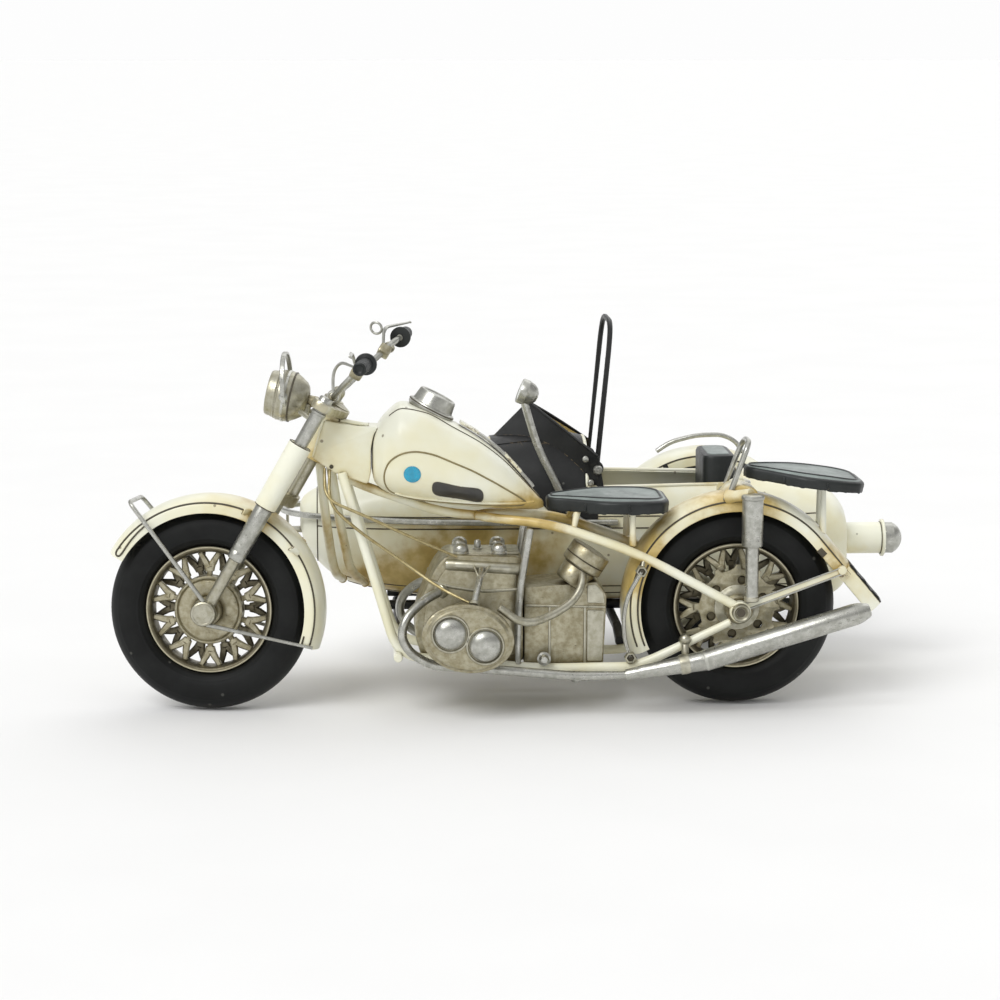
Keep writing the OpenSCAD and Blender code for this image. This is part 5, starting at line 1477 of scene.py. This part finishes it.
skirt_low = curve([(-1, 90), (10, 78), (18.5, 71), (26, 64.2), (32, 62.5), (41, 61.8)], 1)
cowl = Piece("wind_screen_sheet", BLACK, CREAM, SILVER, place=SIDECAR)
for s in (-1, 1):
    rows = []
    for u in between(0, 1, 24):
        low = Vector((-1, 0, 92.2)).lerp(Vector((43, s * 26, 76)), u)
        high = Vector((15, 0, 108.2)).lerp(Vector((41, s * 25.4, 89.5)), u)
        out = Vector((-0.4, s, 0.4)).normalized() * 2.2 * math.sin(u * math.pi)
        rows.append([low.lerp(high, v) + out * (0.5 + 0.5 * v) for v in between(0, 1, 14)])
    cowl.add(sheet(rows, 0.5))
    trim = 1 if s > 0 else 3
    inner = [[p + Vector((0.5, -s * 0.35, 0)) for p in row[trim:-trim]] for row in rows[trim:-trim]]
    cowl.add(sheet(inner, 0.3), CREAM)
    cowl.add(tube([row[-1] for row in rows], 0.55, bend=0.5, sides=10, steps=1))
    cowl.add(tube(rows[-1], 0.55, bend=0.5, sides=10, steps=1))
    skirt = []
    for x in between(-0.5, 41, 44):
        low, high = skirt_low(x), 76.8 if x > 36.6 else hull_high(x) - 0.9
        skirt.append(on_hull([(x, low + (high - low) * v) for v in between(0, 1, 22)], s, 0.45))
    cowl.add(sheet(skirt, -0.4 * s))
    for x, z in ((36, 88.4), (38.2, 79)):
        cowl.add(rod((x, s * 24.6, z), (x, s * 27.0, z), 1.25), SILVER)
    cowl.add(rod((41, s * 19, 84), (41, s * 26.6, 84), 0.93), SILVER)
    cowl.add(turned((41, s * 25.4, 84), (41, s * 27.1, 84), [(0, 0), (1.9, 0), (1.9, 1.0), (1.4, 1.6),
        (0.6, 1.6), (0.5, 1.0), (0, 1.0)], 28), SILVER)


def hull_top(x, y):
    """Height of the body's top at a distance from its middle plane."""
    low, high = hull_wide(x), hull_high(x)
    return low + (high - low) * (1 - (abs(y) / HULL_HALF) ** TOP_POWER) ** (1 / TOP_POWER)


cover = [[(x, y, hull_top(x, y) + 0.45) for y in between(-11, 11, 24)] for x in between(-0.5, 36.3, 30)]
cowl.add(sheet(cover, 0.4))
cowl.finish("chassis", "black_paint", "wind_cowl", angle=50)

mast = Piece("lamp_mast_wire", SILVER)
mast.add(tube([(11.4, 38, 112), (16.5, 38, 94.5), (24.4, 38, 79), (28, 38, 69.8), (33.6, 38, 64.1),
    (43, 38.6, 60.8), (45.4, 42.4, 60.3)], 1.5, bend=7, sides=18))
mast.finish("chassis", "chrome_trim", "lamp_mast")

search = Piece("search_lamp_head", SILVER, GLASS)
at = move(12.5, 39, 115.4) @ turn(-68, "Y")
search.add(lathe([(0, -4.8), (1.8, -4.45), (3.3, -3.5), (4.4, -1.9), (4.8, 0), (5.0, 0.2), (5.0, 2.6),
    (4.7, 3.0), (4.3, 2.7), (0, 2.6)], 48), SILVER, at)
search.add(lathe([(0, 2.5), (4.2, 2.5), (3.4, 2.9), (1.8, 3.0), (0, 3.0)], 40), GLASS, at)
search.finish("chassis", "chrome_trim", "search_lamp")

roll = Piece("roll_hoop_wire", BLACK)
# The hoop leans back a little at rest
HOOP_PIN = joint_point("hoop_fold")
lean = Matrix.Translation(HOOP_PIN) @ turn(5.5, "Y") @ move(0, SIDE_Y - HOOP_PIN.y, 0)
arch = [(0, -20, 2), (0, -20, 49), (0, -17.4, 55.4), (0, -11, 58)]
roll.add(tube(joined(arch), 1.0, bend=5, section=slab(1.9, 2.0, 0.5), up=(1, 0, 0)), BLACK, lean)
for s in (-1, 1):
    roll.add(turned((0, s * 18.8, 0), (0, s * 21.2, 0), [(1.05, 0), (2.5, 0), (2.7, 0.3), (2.7, 2.1),
        (2.5, 2.4), (1.05, 2.4)], 30, ring=True), BLACK, lean)
roll.finish("hoop", "black_paint", "roll_hoop")

perch = Piece("sidecar_seat_sheet", SEAT, SEAT_TOP_HIGHLIGHT, SILVER, place=SIDECAR)


def pad(x, y, z, corner):
    """A soft-edged block; x, y and z are each (low, high)."""
    outline = [(x[0], y[0]), (x[1], y[0]), (x[1], y[1]), (x[0], y[1])]
    return plate(outline, z[0], z[1], (), 1.4, corner)


perch.add(pad((84.2, 97.4), (-15.4, 15.4), (40, 88), 4.5))
# Painted highlight: the top pad takes the lighter seat enamel.
perch.add(pad((86.4, 95.2), (-12.6, 12.6), (87.2, 88.35), 3), SEAT_TOP_HIGHLIGHT)
perch.add(pad((60.2, 84), (-20.8, 20.8), (40, 52.8), 4))
for z in (46, 49.5):
    for y in (-15.5, 15.5):
        perch.add(ball((88 + (z - 46) * 1.1, y, z + 22), 0.75, 14), SILVER)
perch.finish("chassis", "black_paint", "sidecar_seat")

fender = Piece("sidecar_mudguard_sheet", CREAM, GROOVE, place=SIDE)
fender.add(sheet(arc_rows(5, 172), -GUARD_T))
for s in (-1, 1):
    fender.add(seam(s, [(a, LINE_R) for a in between(7, 170, 54)]), GROOVE)
fender.finish("chassis", "cream_paint", "sidecar_mudguard", angle=50)

trim = Piece("mudguard_rail_wire", SILVER)
trim.add(tube([(73, 126, 79.6), (79, 126, 83.6), (90, 126, 86.4), (101, 126, 86.6), (107, 126, 83.6),
    (110, 126, 78.4)], 1.0, bend=4, sides=14))
trim.finish("chassis", "chrome_trim", "mudguard_rail")

boom = Piece("tail_tube_sheet", CREAM, GROOVE)
at = move(142, SIDE_Y + 3, 51) @ turn(90, "Y")
boom.add(lathe([(4.4, -1.5), (6.2, -1.4), (6.4, -0.8), (6.4, 17.2), (6.8, 17.4), (7.5, 17.5), (7.6, 17.8),
    (7.6, 18.3), (7.3, 18.6), (5.6, 18.6)], 56, ring=True), CREAM, at)
boom.add(ring((0, 0, 17.1), (0, 0, 1), 6.45, 0.2, 56), GROOVE, at)
for k in range(6):
    boom.add(ball((7.0 * math.cos(TAU * k / 6), 7.0 * math.sin(TAU * k / 6), 18.3), 0.55, 12), CREAM, at)
boom.finish("chassis", "cream_paint", "tail_tube")


# ---------------------------------------------------------------- carried-over CAD nodes

FINISH = {"cream_paint": CREAM, "pewter": CASTING, "chrome_trim": SILVER, "black_paint": BLACK,
    "tyre_rubber": RUBBER, "blue_enamel": BLUE}
slots = {part["node"]: part["material_slot"] for part in frame["record"]["subparts"]}
for name, node in frame["nodes"].items():
    node.data.materials.clear()
    node.data.materials.append(FINISH[slots[name]])


# ---------------------------------------------------------------- floor, light and camera

def plain(name, shade, rough):
    p = Paint(name)
    color = p.mix(p.span(p.noise(90, 2), 0.3, 0.7), shade, tuple(c * 0.985 for c in shade))
    return p.finish(color, rough)


FLOOR_HALF_M, FLOOR_DROP_M = 40, 0.0002
floor_mesh = bpy.data.meshes.new("floor")
floor_mesh.from_pydata([ORIGIN + Vector((x, y, 0)) * FLOOR_HALF_M for x,
    y in ((-1, -1), (1, -1), (1, 1), (-1, 1))], [], [(0, 1, 2, 3)])
floor_mesh.materials.append(plain("floor_paper", (0.88, 0.88, 0.875), 0.85))
floor = bpy.data.objects.new("floor", floor_mesh)
floor.location.z = cad_box[0].z - FLOOR_DROP_M
bpy.context.scene.collection.objects.link(floor)

world = bpy.data.worlds.new("studio")
world.use_nodes = True
tree = world.node_tree
background = tree.nodes["Background"]
height = tree.nodes.new("ShaderNodeSeparateXYZ")
tree.links.new(tree.nodes.new("ShaderNodeTexCoord").outputs["Generated"], height.inputs[0])
ramp = tree.nodes.new("ShaderNodeValToRGB")
tree.links.new(height.outputs["Z"], ramp.inputs[0])
tree.links.new(ramp.outputs[0], background.inputs["Color"])
WORLD_STOPS = [(0.0, 0.985), (0.12, 0.985), (0.3, 0.30), (0.62, 0.5), (1.0, 0.9)]
elements = ramp.color_ramp.elements
for at, level in WORLD_STOPS[1:-1]:
    elements.new(at)
for element, (at, level) in zip(elements, WORLD_STOPS):
    element.position, element.color = at, (level, level, level, 1)
background.inputs["Strength"].default_value = 1.0
bpy.context.scene.world = world


def soft_sun(name, place, angle, strength):
    """A broad even light from place towards the model."""
    light = bpy.data.lights.new(name, "SUN")
    light.angle, light.energy = math.radians(angle), strength
    thing = bpy.data.objects.new(name, light)
    thing.location = Vector(place) * MM
    thing.rotation_euler = (-Vector(place)).to_track_quat("-Z", "Y").to_euler()
    bpy.context.scene.collection.objects.link(thing)


soft_sun("key", (-500, -650, 800), 35, 1.7)
soft_sun("rim", (300, 800, 700), 60, 0.7)

camera = bpy.data.objects.new("camera", bpy.data.cameras.new("camera"))
LENS_MM, SENSOR_MM = 104.2, 36
camera.data.lens, camera.data.sensor_width = LENS_MM, SENSOR_MM
TARGET = Vector((0, 0, 79.2))
AZIMUTH, ELEVATION, DISTANCE = math.radians(-3), math.radians(9), 1100
back = Vector((math.sin(AZIMUTH) * math.cos(ELEVATION), -math.cos(AZIMUTH) * math.cos(ELEVATION),
    math.sin(ELEVATION)))
camera.location = ORIGIN + (TARGET + back * DISTANCE) * MM
camera.rotation_euler = (-back).to_track_quat("-Z", "Y").to_euler()
camera.data.clip_start, camera.data.clip_end = 0.01, 50
bpy.context.scene.collection.objects.link(camera)
bpy.context.scene.camera = camera
bpy.context.scene.view_settings.view_transform = "Standard"
